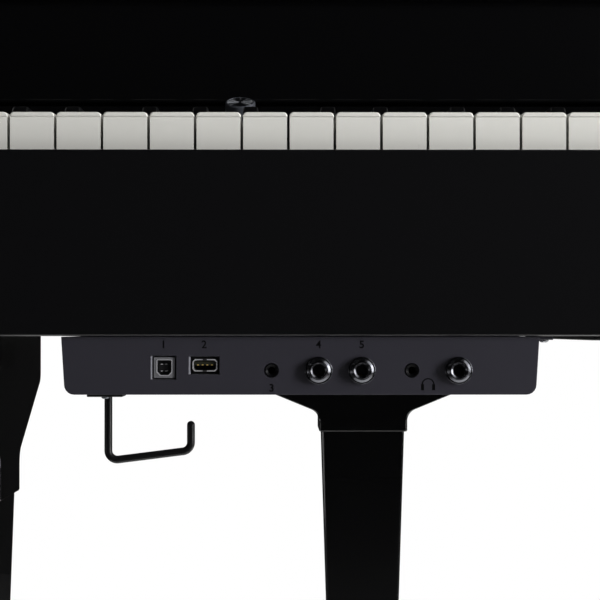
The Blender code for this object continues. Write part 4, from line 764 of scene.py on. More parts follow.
@dataclass
class Keyboard:
    """The white and black keys, with rounded covers over the CAD keys' places.

    Args:
        pitch: From one white key to the next.
        slot: The gap between two white keys.
        count: How many white keys there are.
        cover: How thick the cover's lip is.
        overhang: How far the lip stands over the front.
        nose: The radius of the lip's front edges.
        front_edge: The radius of the cover's front corners.
        front_run: How far behind the front those corners end.
        side_edge: The radius of its long edges.
        inset: How much narrower a key is under its cover, on each side.
        foot: A black key's width at its foot.
        crown: A black key's width at its top.
        crown_edge: The radius of its upper edges.
        slope: How far a black key's front leans back.
        clearance: The gap between a black key and its neighbours.
        root: How far a black key's foot lies below the white keys' top.
        arm: How far the top of its arm lies below that.
        sharp_start: How far its front lies behind the white keys' front.
        sharp_end: How far the back of its high part lies behind that.
        sharp_drop: How far a black key's top lies below its CAD node's.
        spread_two: How far the two black keys of a pair stand off the white keys' boundaries.
        spread_three: How far the outer two of three black keys stand off them.
        first_single: The first white key that turns singly, counted from the low A.
        single_count: How many white keys turn singly.
        rod: The radius of the rods that the keys turn on.
        rod_end: How far a group's rod ends before the next key.
        rod_drop: How far the rods' middle lies below the white keys' top.
        rod_inset: How far the white keys' rod lies before their tail.
        sharp_rod_inset: How far the black keys' rod lies before theirs.
        single_seat: How far the arm of a single key lies above the rod's middle.
        group_seat: How far the arms of a group lie above it.
    """

    pitch: float = 0.0235
    slot: float = 0.00103
    count: int = 52
    cover: float = 0.0026
    overhang: float = 0.00015
    nose: float = 0.0006
    front_edge: float = 0.0021
    front_run: float = 0.011
    side_edge: float = 0.0011
    inset: float = 0.0002
    foot: float = 0.0098
    crown: float = 0.0080
    crown_edge: float = 0.0015
    slope: float = 0.0100
    clearance: float = 0.0010
    root: float = 0.014
    arm: float = 0.0047
    sharp_start: float = 0.0500
    sharp_end: float = 0.147
    sharp_drop: float = 0.0019
    spread_two: float = 0.0023
    spread_three: float = 0.0034
    first_single: int = 3
    single_count: int = 13
    rod: float = 0.003
    rod_end: float = 0.0005
    rod_drop: float = 0.020
    rod_inset: float = 0.007
    sharp_rod_inset: float = 0.0035
    single_seat: float = 0.0033
    group_seat: float = 0.0012

    def __post_init__(self) -> None:
        """Takes the heights and depths from the frame."""
        key = NodeBox("white_key_e1")
        sharp = NodeBox("black_keys_octave_1")
        self.front = key.low.y
        self.top = key.high.z
        self.low = key.low.z
        self.tail = key.high.y
        self.rod_y = self.tail - self.rod_inset
        self.rod_z = self.top - self.rod_drop
        self.sharp_front = self.front + self.sharp_start
        self.sharp_back = self.front + self.sharp_end
        self.sharp_top = sharp.high.z - self.sharp_drop
        self.sharp_tail = sharp.high.y
        self.sharp_rod_y = self.sharp_tail - self.sharp_rod_inset
        self.left = -self.count * self.pitch / 2

    def sharps(self) -> dict[int, float]:
        """The middle of each black key, by the white key on its left.

        Returns:
            The places across the keyboard.
        """
        offsets = {
            0: -self.spread_two,
            1: self.spread_two,
            3: -self.spread_three,
            4: 0.0,
            5: self.spread_three,
        }
        places = {}
        for index in range(self.count - 1):
            offset = offsets.get((index + 5) % 7)
            if offset is not None:
                places[index] = self.left + (index + 1) * self.pitch + offset
        return places

    def edges(self, index: int) -> tuple[float, float, float, float]:
        """The sides of a white key, at its front and beside the black keys.

        Args:
            index: The key, counted from the low A.

        Returns:
            Left and right at the front, then left and right at the back.
        """
        sharps = self.sharps()
        left = self.left + index * self.pitch + self.slot / 2
        right = left + self.pitch - self.slot
        notch = self.foot / 2 + self.clearance
        back_left = sharps[index - 1] + notch if index - 1 in sharps else left
        back_right = sharps[index] - notch if index in sharps else right
        return left, right, back_left, back_right

    def cover_ring(
        self, y: float, left: float, right: float, low: float, high: float, edge: float
    ) -> list[tuple[float, float, float]]:
        """One section across a key, with round upper edges.

        Args:
            y: Its place along the key.
            left: Its left side.
            right: Its right side.
            low: Its lower side.
            high: Its top.
            edge: The radius of its upper edges.

        Returns:
            The section's points.
        """
        round_right = arc_points((right - edge, high - edge), edge, 0, 90, 5)
        round_left = arc_points((left + edge, high - edge), edge, 90, 180, 5)
        outline = [(left, low), (right, low), *round_right, *round_left]
        return [(x, y, z) for x, z in outline]

    def white_into(self, bm: BMesh, index: int, seat: float) -> None:
        """Adds a white key: its cover with the lip, its front, and its arm to the rod.

        Args:
            bm: The mesh that gets it.
            index: The key, counted from the low A.
            seat: The height of the arm's underside.
        """
        left, right, back_left, back_right = self.edges(index)
        lip, notch_y = self.top - self.cover, self.sharp_front - self.clearance
        front, top, nose, edge, side = self.front, self.top, self.nose, self.front_edge, self.side_edge
        chamfer = nose * 0.3
        rings = [
            (front, left + nose, right - nose, lip + nose, top - nose, edge - nose),
            (front + chamfer, left + chamfer, right - chamfer, lip + chamfer, top - chamfer, edge),
            (front + nose, left, right, lip, top, edge),
            (front + self.front_run, left, right, lip, top, side),
            (notch_y - nose, left, right, lip, top, side),
            (notch_y, back_left, back_right, lip, top, side),
            (self.tail, back_left, back_right, lip, top, side),
        ]
        skin(bm, [ring_into(bm, self.cover_ring(*ring)) for ring in rings])
        crease = 2.0 * self.inset
        body = [
            (front + self.overhang, left + self.inset, right - self.inset, self.low),
            (notch_y - crease, left + self.inset, right - self.inset, self.low),
            (notch_y, back_left, back_right, self.low),
            (notch_y + crease, back_left, back_right, seat),
            (self.tail, back_left, back_right, seat),
        ]
        sections = []
        for y, low_x, high_x, low in body:
            corners = [(low_x, low), (high_x, low), (high_x, lip), (low_x, lip)]
            sections.append(ring_into(bm, [(x, y, z) for x, z in corners]))
        skin(bm, sections)

    def sharp_ring(
        self, middle: float, y: float, low: float, foot: float, high: float, crown: float, edge: float
    ) -> list[tuple[float, float, float]]:
        """One section across a black key.

        Args:
            middle: The key's middle line.
            y: Its place along the key.
            low: Its lower side.
            foot: Its width there.
            high: Its top.
            crown: Its width at the top.
            edge: The radius of its upper edges.

        Returns:
            The section's points.
        """
        half, top = foot / 2, crown / 2
        right = arc_points((middle + top - edge, high - edge), edge, 0, 90, 4)
        left = arc_points((middle - top + edge, high - edge), edge, 90, 180, 4)
        outline = [(middle - half, low), (middle + half, low), *right, *left]
        return [(x, y, z) for x, z in outline]

    def black_into(self, bm: BMesh, middle: float) -> None:
        """Adds a black key: a leaning front, a crowned top and its arm to the rod.

        Args:
            bm: The mesh that gets it.
            middle: Its middle line.
        """
        root, arm, over_rod = self.top - self.root, self.top - self.arm, self.rod_z + self.rod * 1.6
        foot, crown, edge, slope = self.foot, self.crown, self.crown_edge, self.slope
        front, back, tail, high = self.sharp_front, self.sharp_back, self.sharp_tail, self.sharp_top
        rise, small = high - self.top, edge / 3
        sections = (
            (front, root, foot - 0.0008, self.top + 0.0004, foot - 0.0014, small),
            (front + slope * 0.80, root, foot, self.top + rise * 0.88, crown, edge * 0.8),
            (front + slope * 1.10, root, foot, high - 0.0003, crown, edge),
            (front + slope * 1.50, root, foot, high, crown, edge),
            (back, root, foot, high, crown, edge),
            (back + small, over_rod, foot, arm, crown, small),
            (tail, over_rod, foot, arm, crown, small),
        )
        skin(bm, [ring_into(bm, self.sharp_ring(middle, *section)) for section in sections])
        half, reach = foot / 2 - 0.0004, self.rod + 0.0004
        low = (middle - half, self.sharp_rod_y - reach, self.rod_z)
        box_into(bm, low, (middle + half, self.sharp_rod_y + reach, over_rod + 0.001))

    def rod_into(self, bm: BMesh, start: float, end: float, y: float) -> None:
        """Adds the rod that a group of keys turns on.

        Args:
            bm: The mesh that gets it.
            start: Its left end.
            end: Its right end.
            y: Its place in depth.
        """
        tube_into(bm, [(start, y, self.rod_z), (end, y, self.rod_z)], self.rod, 16)

    def note(self, index: int) -> str:
        """A white key's note in small letters, such as d1.

        Args:
            index: The key, counted from the low A.

        Returns:
            The note.
        """
        return "abcdefg"[index % 7] + str((index + 5) // 7)

    def build(self) -> None:
        """Builds every key over its CAD node."""
        last_single = self.first_single + self.single_count - 1
        runs = [("white_keys_lowest", 0, self.first_single - 1)]
        runs += [("white_keys_upper", last_single + 1, self.count - 1)]
        singles = range(self.first_single, last_single + 1)
        runs = [("white_key_" + self.note(index), index, index) for index in singles] + runs
        for node, first, last in runs:
            single = first == last
            seat = self.rod_z + (self.single_seat if single else self.group_seat)
            bm = bmesh.new()
            for index in range(first, last + 1):
                self.white_into(bm, index, seat)
            if not single:
                start = self.left + first * self.pitch + self.rod_end
                end = self.left + (last + 1) * self.pitch - self.rod_end
                self.rod_into(bm, start, end, self.rod_y)
            name = ("cover_" if single else "covers_") + node
            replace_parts(add_piece(name, bm, Finishes.key_cover, node, 50), node)
        sharps = self.sharps()
        octaves = (
            ("black_keys_octave_1", 0, self.first_single + 5),
            ("black_keys_octave_2", self.first_single + 6, last_single),
            ("black_keys_upper", last_single + 1, self.count - 2),
        )
        for node, first, last in octaves:
            middles = [sharps[i] for i in range(first, last + 1) if i in sharps]
            bm = bmesh.new()
            for middle in middles:
                self.black_into(bm, middle)
            reach = self.foot * 0.4
            self.rod_into(bm, middles[0] - reach, middles[-1] + reach, self.sharp_rod_y)
            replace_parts(add_piece("sharps_" + node, bm, Finishes.sharp, node, 50), node)
        dress("key_chassis", Finishes.zinc_steel)


@dataclass
class PanelControls:
    """The volume knob, the power button and the sloped panel that carries them.

    Args:
        knob: The knob's radius.
        height: The knob's height.
        chamfer: The chamfer round its face.
        face_edge: How far inside its rim the spun face starts.
        sink: How far the spun face lies below that rim.
        grooves: How many fine turning marks its face has.
        shaft: The radius of the shaft.
        line: The width of the index line.
        lens: The radius of the pilot light.
        lens_step: How far it stands to the right of the power button.
        slope: How far the panel leans back.
    """

    knob: float = 0.0090
    height: float = 0.0102
    chamfer: float = 0.0007
    face_edge: float = 0.0010
    sink: float = 0.0003
    grooves: int = 9
    shaft: float = 0.003
    line: float = 0.0008
    lens: float = 0.0013
    lens_step: float = 0.016
    slope: float = math.radians(26.0)

    def joint_place(self, joint: str) -> Matrix:
        """The place where a control stands, its Z axis along the slope's normal.

        Args:
            joint: The name of its joint.

        Returns:
            The place.
        """
        found = next(j for j in frame["joints"] if j["name"] == joint)
        return Matrix.Translation(Vector(found["pos_m"])) @ Matrix.Rotation(self.slope, 4, "X")

    def build_knob(self) -> None:
        """Builds the knob: a straight side, a chamfer, a turned face and an index line."""
        place = self.joint_place("volume_knob_turn")
        knob, height, shaft, sink = self.knob, self.height, self.shaft, self.sink
        inner = knob - self.face_edge
        profile = [
            (shaft, 0.0006), (knob - 0.0004, 0.0006), (knob, 0.0010), (knob, height - self.chamfer),
            (knob - self.chamfer, height), (inner, height), (inner - 0.0001, height - sink),
            (shaft, height - sink),
        ]
        bm = bmesh.new()
        turned_into(bm, profile, place, 96)
        skirt = add_piece(
            "volume_knob_skirt", bm, Finishes.turned_aluminium, "volume_knob", 30
        )
        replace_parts(skirt, "volume_knob")
        under, over, rim = height - 0.0004, height - 0.0001, inner - 0.0002
        face = [(0.0, under), (rim, under), (rim, over)]
        for i in range(1, self.grooves):
            radius = inner * (1.0 - i / self.grooves)
            face += [(radius + 0.0003, over), (radius, over - 0.00003)]
        face.append((0.0, over))
        bm = bmesh.new()
        turned_into(bm, face, place, 96)
        # The face's light spokes are painted highlight in its colour.
        add_piece("volume_knob_face", bm, Finishes.spun_aluminium, "volume_knob", 30)
        bm = bmesh.new()
        turned_into(bm, [(0.0, 0.001), (shaft, 0.001), (shaft, -0.008), (0.0, -0.008)], place, 24)
        add_piece("volume_shaft", bm, Finishes.zinc_steel, "volume_knob")
        bm = bmesh.new()
        low = Vector((-self.line / 2, knob * 0.45, height - 0.0006))
        corners = box_into(bm, low, low + Vector((self.line, knob * 0.42, 0.00065)))
        bmesh.ops.transform(bm, matrix=place, verts=corners)
        add_piece("volume_index_line", bm, Finishes.insert_plastic, "volume_knob")

    def build_pilot_light(self) -> None:
        """Builds the pilot light beside the power button."""
        place = self.joint_place("volume_knob_turn")
        across = NodeBox("power_button").middle.x + self.lens_step - place.translation.x
        radius = self.lens
        dome = [(0.0, 0.00035), (radius * 9 / 13, 0.0003), (radius, 0.0001), (radius, -0.0004)]
        bm = bmesh.new()
        turned_into(bm, [*dome, (0.0, -0.0004)], Matrix.Translation((across, 0, 0)) @ place, 24)
        add_piece("pilot_light", bm, Finishes.pilot_lens)

    def build(self) -> None:
        """Builds and dresses the panel's controls."""
        self.build_knob()
        self.build_pilot_light()
        refine("control_panel", Finishes.lacquer, 0.0004)
        refine("power_button", Finishes.socket_plastic, bevel=0.0003)


# How far the lower and upper side of each square recess stand above those of its CAD node
RECESS_RISES = {"usb_device_port": (0.0010, 0.0018), "usb_memory_port": (0.0022, 0.0029)}


@dataclass
class Sockets:
    """The sockets in the jack box, each with its rim, mouth and contacts.

    Args:
        draft: How far a recess leans in on its left.
        wall: How far it leans in on the other sides.
        recess: How deep a square connector's face lies.
        gap: How much smaller a connector is than the recess round it.
        shell: The thickness of a pressed shell.
        cut: How far the corners of a plain square edge are cut.
        device_mouth: The width and height inside the squarish data socket.
        memory_size: The width and height of the flat data socket.
        bore: The radius of a large jack's bore.
        nut: The radius of its ring nut.
        nut_depth: How far the nut stands out.
        nut_cone: The slope of the nut's face.
        washer: The thickness of the washer under the nut.
        mini_bore: The radius of a mini jack's bore.
        mini_rim: The radius of its rim.
        digit_height: The height of a port number.
        above: How far a number stands over the jacks' middles.
        below: How far the mini jack's number stands under them.
        bow: The radius of the headphone sign.
        bow_line: The width of its line.
    """

    draft: float = 0.0009
    wall: float = 0.0002
    recess: float = 0.0016
    gap: float = 0.0012
    shell: float = 0.00050
    cut: float = 0.0001
    device_mouth: tuple[float, float] = (0.0070, 0.0073)
    memory_size: tuple[float, float] = (0.0123, 0.0061)
    bore: float = 0.0031
    nut: float = 0.00685
    nut_depth: float = 0.0036
    nut_cone: float = math.radians(29.0)
    washer: float = 0.0011
    mini_bore: float = 0.00175
    mini_rim: float = 0.0034
    digit_height: float = 0.0037
    above: float = 0.0127
    below: float = 0.0088
    bow: float = 0.0029
    bow_line: float = 0.0006

    def __post_init__(self) -> None:
        """Takes the box's face and the jacks' height from the frame."""
        self.face = NodeBox("jack_box").low.y
        self.height = NodeBox("jack_sleeve_left").middle.z

    def chamfered(
        self, width: float, height: float, top: float, bottom: float
    ) -> list[tuple[float, float]]:
        """A rectangle with cut corners, about the origin.

        Args:
            width: Its full width.
            height: Its full height.
            top: How far its upper corners are cut.
            bottom: How far its lower corners are cut.

        Returns:
            Its eight points, anticlockwise from the lower right.
        """
        x, z = width / 2, height / 2
        return [
            (x - bottom, -z), (x, -z + bottom), (x, z - top), (x - top, z),
            (-x + top, z), (-x, z - top), (-x, -z + bottom), (-x + bottom, -z),
        ]

    def ring_at(
        self, bm: BMesh, outline: Sequence[tuple[float, float]], middle: Vector, depth: float
    ) -> list:
        """Adds an outline at a depth behind the box's face.

        Args:
            bm: The mesh that gets it.
            outline: Points about the socket's middle.
            middle: The socket's middle.
            depth: How far behind the face it lies.

        Returns:
            The ring's vertices.
        """
        y = self.face + depth
        return ring_into(bm, [(middle.x + px, y, middle.z + pz) for px, pz in outline])

    def stack(
        self,
        name: str,
        levels: Sequence[tuple[list[tuple[float, float]], float]],
        middle: Vector,
        finish: Finish,
        tube: bool = False,
    ) -> bpy.types.Object:
        """Builds a piece from outlines at depths behind the box's face.

        Args:
            name: The piece's name.
            levels: Each outline and its depth.
            middle: The socket's middle.
            finish: What the piece is made of.
            tube: Whether the last outline meets the first. Otherwise both are filled.

        Returns:
            The piece.
        """
        bm = bmesh.new()
        rings = [self.ring_at(bm, outline, middle, depth) for outline, depth in levels]
        skin(bm, [*rings, rings[0]] if tube else rings, caps=not tube)
        return add_piece(name, bm, finish, smooth_angle=20)

    def blocks(
        self,
        name: str,
        places: Sequence[tuple[float, float]],
        half: tuple[float, float],
        depths: tuple[float, float],
        finish: Finish,
        bevel: float = 0.0,
    ) -> None:
        """Builds a piece from equal blocks behind the box's face.

        Args:
            name: The piece's name.
            places: Each block's middle across and in height.
            half: Half a block's width and half its height.
            depths: Where a block starts and where it ends.
            finish: What the piece is made of.
            bevel: How far its edges are rounded.
        """
        near, far = self.face + depths[0], self.face + depths[1]
        bm = bmesh.new()
        for x, z in places:
            box_into(bm, (x - half[0], near, z - half[1]), (x + half[0], far, z + half[1]))
        add_piece(name, bm, finish, bevel=bevel)

    def leaning_rim(self, name: str, node: str) -> tuple[Vector, float, float]:
        """Builds the drafted rim of a square recess.

        Args:
            name: The rim's name.
            node: The CAD socket inside the recess.

        Returns:
            The socket's middle, then the width and height inside the rim.
        """
        box = NodeBox(node)
        low_rise, high_rise = RECESS_RISES[node]
        middle = box.middle + Vector((0.0, 0.0, (low_rise + high_rise) / 2))
        width = box.high.x - box.low.x + 2 * self.wall
        height = box.high.z - box.low.z + 2 * self.wall + high_rise - low_rise
        inner_width, inner_height = width - self.draft - self.wall, height - 2 * self.wall
        shift = (self.draft - self.wall) / 2
        mouth = self.chamfered(width, height, self.cut, self.cut)
        lip = self.chamfered(inner_width, inner_height, self.cut, self.cut)
        inner = [(x + shift, z) for x, z in lip]
        levels = [(mouth, 0.0), (inner, self.recess), (mouth, self.recess)]
        # The rim's paler grey is painted highlight for its lit side.
        self.stack(name, levels, middle, Finishes.socket_frame, tube=True)
        return middle + Vector((shift, 0.0, 0.0)), inner_width, inner_height

    def mouth(self, grow: float, top: float, bottom: float) -> list[tuple[float, float]]:
        """The squarish data socket's outline, grown by a little.

        Args:
            grow: How much wider and higher it is than the mouth.
            top: How far its upper corners are cut.
            bottom: How far its lower corners are cut.

        Returns:
            Its points.
        """
        width, height = self.device_mouth
        return self.chamfered(width + grow, height + grow, top, bottom)

    def device_port(self) -> None:
        """Builds the squarish data socket: a pale insert, its mouth and a tongue with contacts."""
        middle, width, height = self.leaning_rim("device_port_rim", "usb_device_port")
        start, x, z = self.recess * 0.5, middle.x, middle.z
        outer = self.chamfered(width - self.gap, height - self.gap, self.cut, self.cut)
        rim, mouth = self.mouth(0.0007, 0.0006, 0.0018), self.mouth(0.0, 0.0004, 0.0016)
        levels = [(outer, 0.0160), (outer, start), (rim, start), (mouth, start + 0.0006), (mouth, 0.0120)]
        port = self.stack("device_port_insert", levels, middle, Finishes.insert_plastic)
        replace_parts(port, "usb_device_port")
        shield, inside = self.mouth(0.0009, 0.0005, 0.0017), self.mouth(0.0001, 0.0004, 0.0016)
        lip, end = start - 0.00015, start + 0.0020
        levels = [(shield, lip), (inside, lip), (inside, end), (shield, end)]
        self.stack("device_port_shield", levels, middle, Finishes.satin_nickel, tube=True)
        lining, hollow = self.mouth(-0.0001, 0.0004, 0.0016), self.mouth(-0.0004, 0.0004, 0.0015)
        lip, end = start + 0.0022, 0.0115
        levels = [(lining, lip), (hollow, lip), (hollow, end), (lining, end)]
        self.stack("device_port_lining", levels, middle, Finishes.socket_plastic)
        half = (0.0026, 0.0016)
        self.blocks("device_port_tongue", [(x, z)], half, (0.0022, 0.0118), Finishes.socket_plastic, 0.0003)
        places = [(x + i * 0.0011 - 0.0002, z + j * 0.0017) for j in (-1, 1) for i in (-1, 1)]
        half = (0.0005, 0.0002)
        self.blocks("device_port_contacts", places, half, (0.0020, 0.0072), Finishes.satin_nickel)

    def memory_port(self) -> None:
        """Builds the flat data socket: a pressed shell, black blocks of painted shade at its spring notches
        and a tongue with contacts.
        """
        middle, width, height = self.leaning_rim("memory_port_rim", "usb_memory_port")
        start, x, z = self.recess * 0.4, middle.x, middle.z
        wide, high = self.memory_size
        outer = self.chamfered(wide, high, 0.0012, 0.0012)
        inner = self.chamfered(wide - 2 * self.shell, high - 2 * self.shell, 0.0010, 0.0010)
        levels = [(outer, start), (inner, start), (inner, 0.0170), (outer, 0.0170)]
        shell = self.stack(
            "memory_port_shell", levels, middle, Finishes.satin_nickel, tube=True
        )
        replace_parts(shell, "usb_memory_port")
        plate, lip = self.chamfered(width, height, self.cut, self.cut), self.recess + 0.0012
        levels = [(plate, 0.0180), (plate, lip), (outer, lip), (outer, 0.0175)]
        self.stack("memory_port_surround", levels, middle, Finishes.socket_plastic)
        half, depths = (0.0054, 0.00095), (0.0016, 0.0165)
        self.blocks("memory_port_tongue", [(x, z + 0.00105)], half, depths, Finishes.contact_bed, 0.0002)
        places = [(x + (i - 1.5) * 0.0023, z + 0.000175) for i in range(4)]
        half, depths = (0.00045, 0.000225), (0.0014, 0.0106)
        self.blocks("memory_port_contacts", places, half, depths, Finishes.gold_contact)
        # Black blocks at the shell's spring notches: painted shade.
        places = [(x, z + side * (high - self.shell) / 2) for side in (-1, 1)]
        half, depths = (0.0010, 0.00045), (start - 0.00015, start + 0.0015)
        self.blocks("memory_port_springs", places, half, depths, Finishes.chip_epoxy, 0.0001)

    def large_jack(self, node: str) -> None:
        """Builds a large jack: a stepped ring nut, a bevelled mouth and a contact spring.

        Args:
            node: The CAD sleeve that it stands for.
        """
        box = NodeBox(node)
        x = box.middle.x
        place = face_place(x, self.face, self.height)
        nut, bore, depth, washer = self.nut, self.bore, self.nut_depth, self.washer
        barrel, body, rim = box.high.y - self.face, nut - 0.0009, bore + 0.0013
        seat = depth - (body - rim) * math.tan(self.nut_cone) - 0.0002
        # From the back: barrel, round washer, groove, body, cone, step, round lip, bore
        profile = [
            (0.0, -barrel), (0.0056, -barrel), (0.0056, 0.0001), (nut, 0.0001),
            *arc_points((nut - 0.0004, washer - 0.0004), 0.0004, 0, 90, 5),
            (body + 0.0003, washer), (body + 0.0002, washer - 0.0006), (body, washer - 0.0006),
            *arc_points((body - 0.0003, seat - 0.0003), 0.0003, 0, 60, 4),
            (rim + 0.0003, depth - 0.0003), (rim + 0.0002, depth - 0.0010),
            (rim - 0.0001, depth - 0.0010),
            *arc_points((rim - 0.0003, depth - 0.0002), 0.0002, 0, 90, 3),
            (rim - 0.0004, depth), (bore + 0.0001, depth - 0.00045),
            (bore, depth - 0.0006), (bore, depth * 0.45),
            (bore + 0.0002, depth * 0.40), (bore + 0.0002, -0.0155), (0.0, -0.0155),
        ]
        bm = bmesh.new()
        turned_into(bm, profile, place, 64)
        sleeve = add_piece("nut_" + node, bm, Finishes.dark_nickel, smooth_angle=24)
        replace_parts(sleeve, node)
        outer, inner, end = bore + 0.0001, bore - 0.0003, -0.0150
        lining = [(outer, 0.0004), (inner, 0.0002), (inner, end), (outer, end), (outer, 0.0004)]
        bm = bmesh.new()
        turned_into(bm, lining, place, 48)
        add_piece("lining_" + node, bm, Finishes.socket_plastic)
        places, half = [(x, self.height - bore + 0.00055)], (0.0008, 0.00015)
        self.blocks("spring_" + node, places, half, (0.0085, 0.0140), Finishes.gold_contact, 0.0001)

    def mini_jack(self, node: str) -> None:
        """Builds a mini jack: a moulded rim with a funnel and a bore.

        Args:
            node: The CAD sleeve that it stands for.
        """
        box = NodeBox(node)
        place = face_place(box.middle.x, self.face, self.height)
        rim, bore = self.mini_rim, self.mini_bore
        barrel = box.high.y - self.face
        profile = [
            (0.0, -barrel), (rim, -barrel), (rim, 0.0001), (rim - 0.0001, 0.0002),
            (rim - 0.0004, 0.0002), (rim - 0.0006, 0.0000), (bore + 0.0001, -0.0007),
            (bore, -0.0010), (bore, -0.0160), (0.0, -0.0160),
        ]
        bm = bmesh.new()
        turned_into(bm, profile, place, 40)
        sleeve = add_piece("rim_" + node, bm, Finishes.gloss_nylon)
        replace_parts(sleeve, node)

    def digit(self, figure: str, x: float, z: float) -> None:
        """Prints a port number on the box's face.

        Args:
            figure: The number.
            x: Its middle across.
            z: Its middle in height.
        """
        curve = bpy.data.curves.new("port_number_" + figure, "FONT")
        curve.body = figure
        curve.align_x = "CENTER"
        curve.align_y = "CENTER"
        curve.size = self.digit_height / 0.70
        curve.extrude = 0.00002
        curve.offset = 0.00010
        text = bpy.data.objects.new("port_number_" + figure, curve)
        bpy.context.scene.collection.objects.link(text)
        text.matrix_world = face_place(x, self.face - 0.00003, z)
        bpy.context.view_layer.update()
        mesh = bpy.data.meshes.new_from_object(text.evaluated_get(bpy.context.evaluated_depsgraph_get()))
        mesh.transform(text.matrix_world)
        bpy.data.objects.remove(text)
        bm = bmesh.new()
        bm.from_mesh(mesh)
        bpy.data.meshes.remove(mesh)
        add_piece("port_number_" + figure, bm, Finishes.ink)

    def headphone_sign(self, x: float, z: float) -> None:
        """Prints a plain headphone sign on the box's face.

        Args:
            x: Its middle across.
            z: Its middle in height.
        """
        bm = bmesh.new()
        radius, line = self.bow, self.bow_line
        outer = arc_points((0.0, 0.0), radius + line / 2, 0, 180, 20)
        inner = arc_points((0.0, 0.0), radius - line / 2, 0, 180, 20)
        near, far = self.face - 0.00005, self.face - 0.00001
        rows = []
        for outline, y in ((outer, near), (inner, near), (inner, far), (outer, far)):
            rows.append(ring_into(bm, [(x + px, y, z + pz) for px, pz in outline]))
        skin(bm, [*rows, rows[0]], closed=False, caps=False)
        for end in (0, -1):
            bm.faces.new([row[end] for row in rows])
        for side in (-1, 1):
            cup = [x + side * (radius - 0.0009), x + side * (radius + 0.0006)]
            box_into(bm, (min(cup), near, z - 0.0028), (max(cup), far, z + 0.0002))
        add_piece("headphone_sign", bm, Finishes.ink)

    def build(self) -> None:
        """Builds every socket and its mark."""
        self.device_port()
        self.memory_port()
        for node in ("jack_sleeve_left", "jack_sleeve_right", "jack_sleeve_phones"):
            self.large_jack(node)
        for node in ("mini_jack_input", "mini_jack_phones"):
            self.mini_jack(node)
        above, below = self.height + self.above, self.height - self.below
        marks = {
            "usb_device_port": above,
            "usb_memory_port": above,
            "mini_jack_input": below,
            "jack_sleeve_left": above,
            "jack_sleeve_right": above,
        }
        for figure, (node, z) in enumerate(marks.items(), 1):
            self.digit(str(figure), NodeBox(node).middle.x, z)
        phones = NodeBox("mini_jack_phones").middle.x
        self.headphone_sign(phones + 0.0080, self.height - 0.0070)


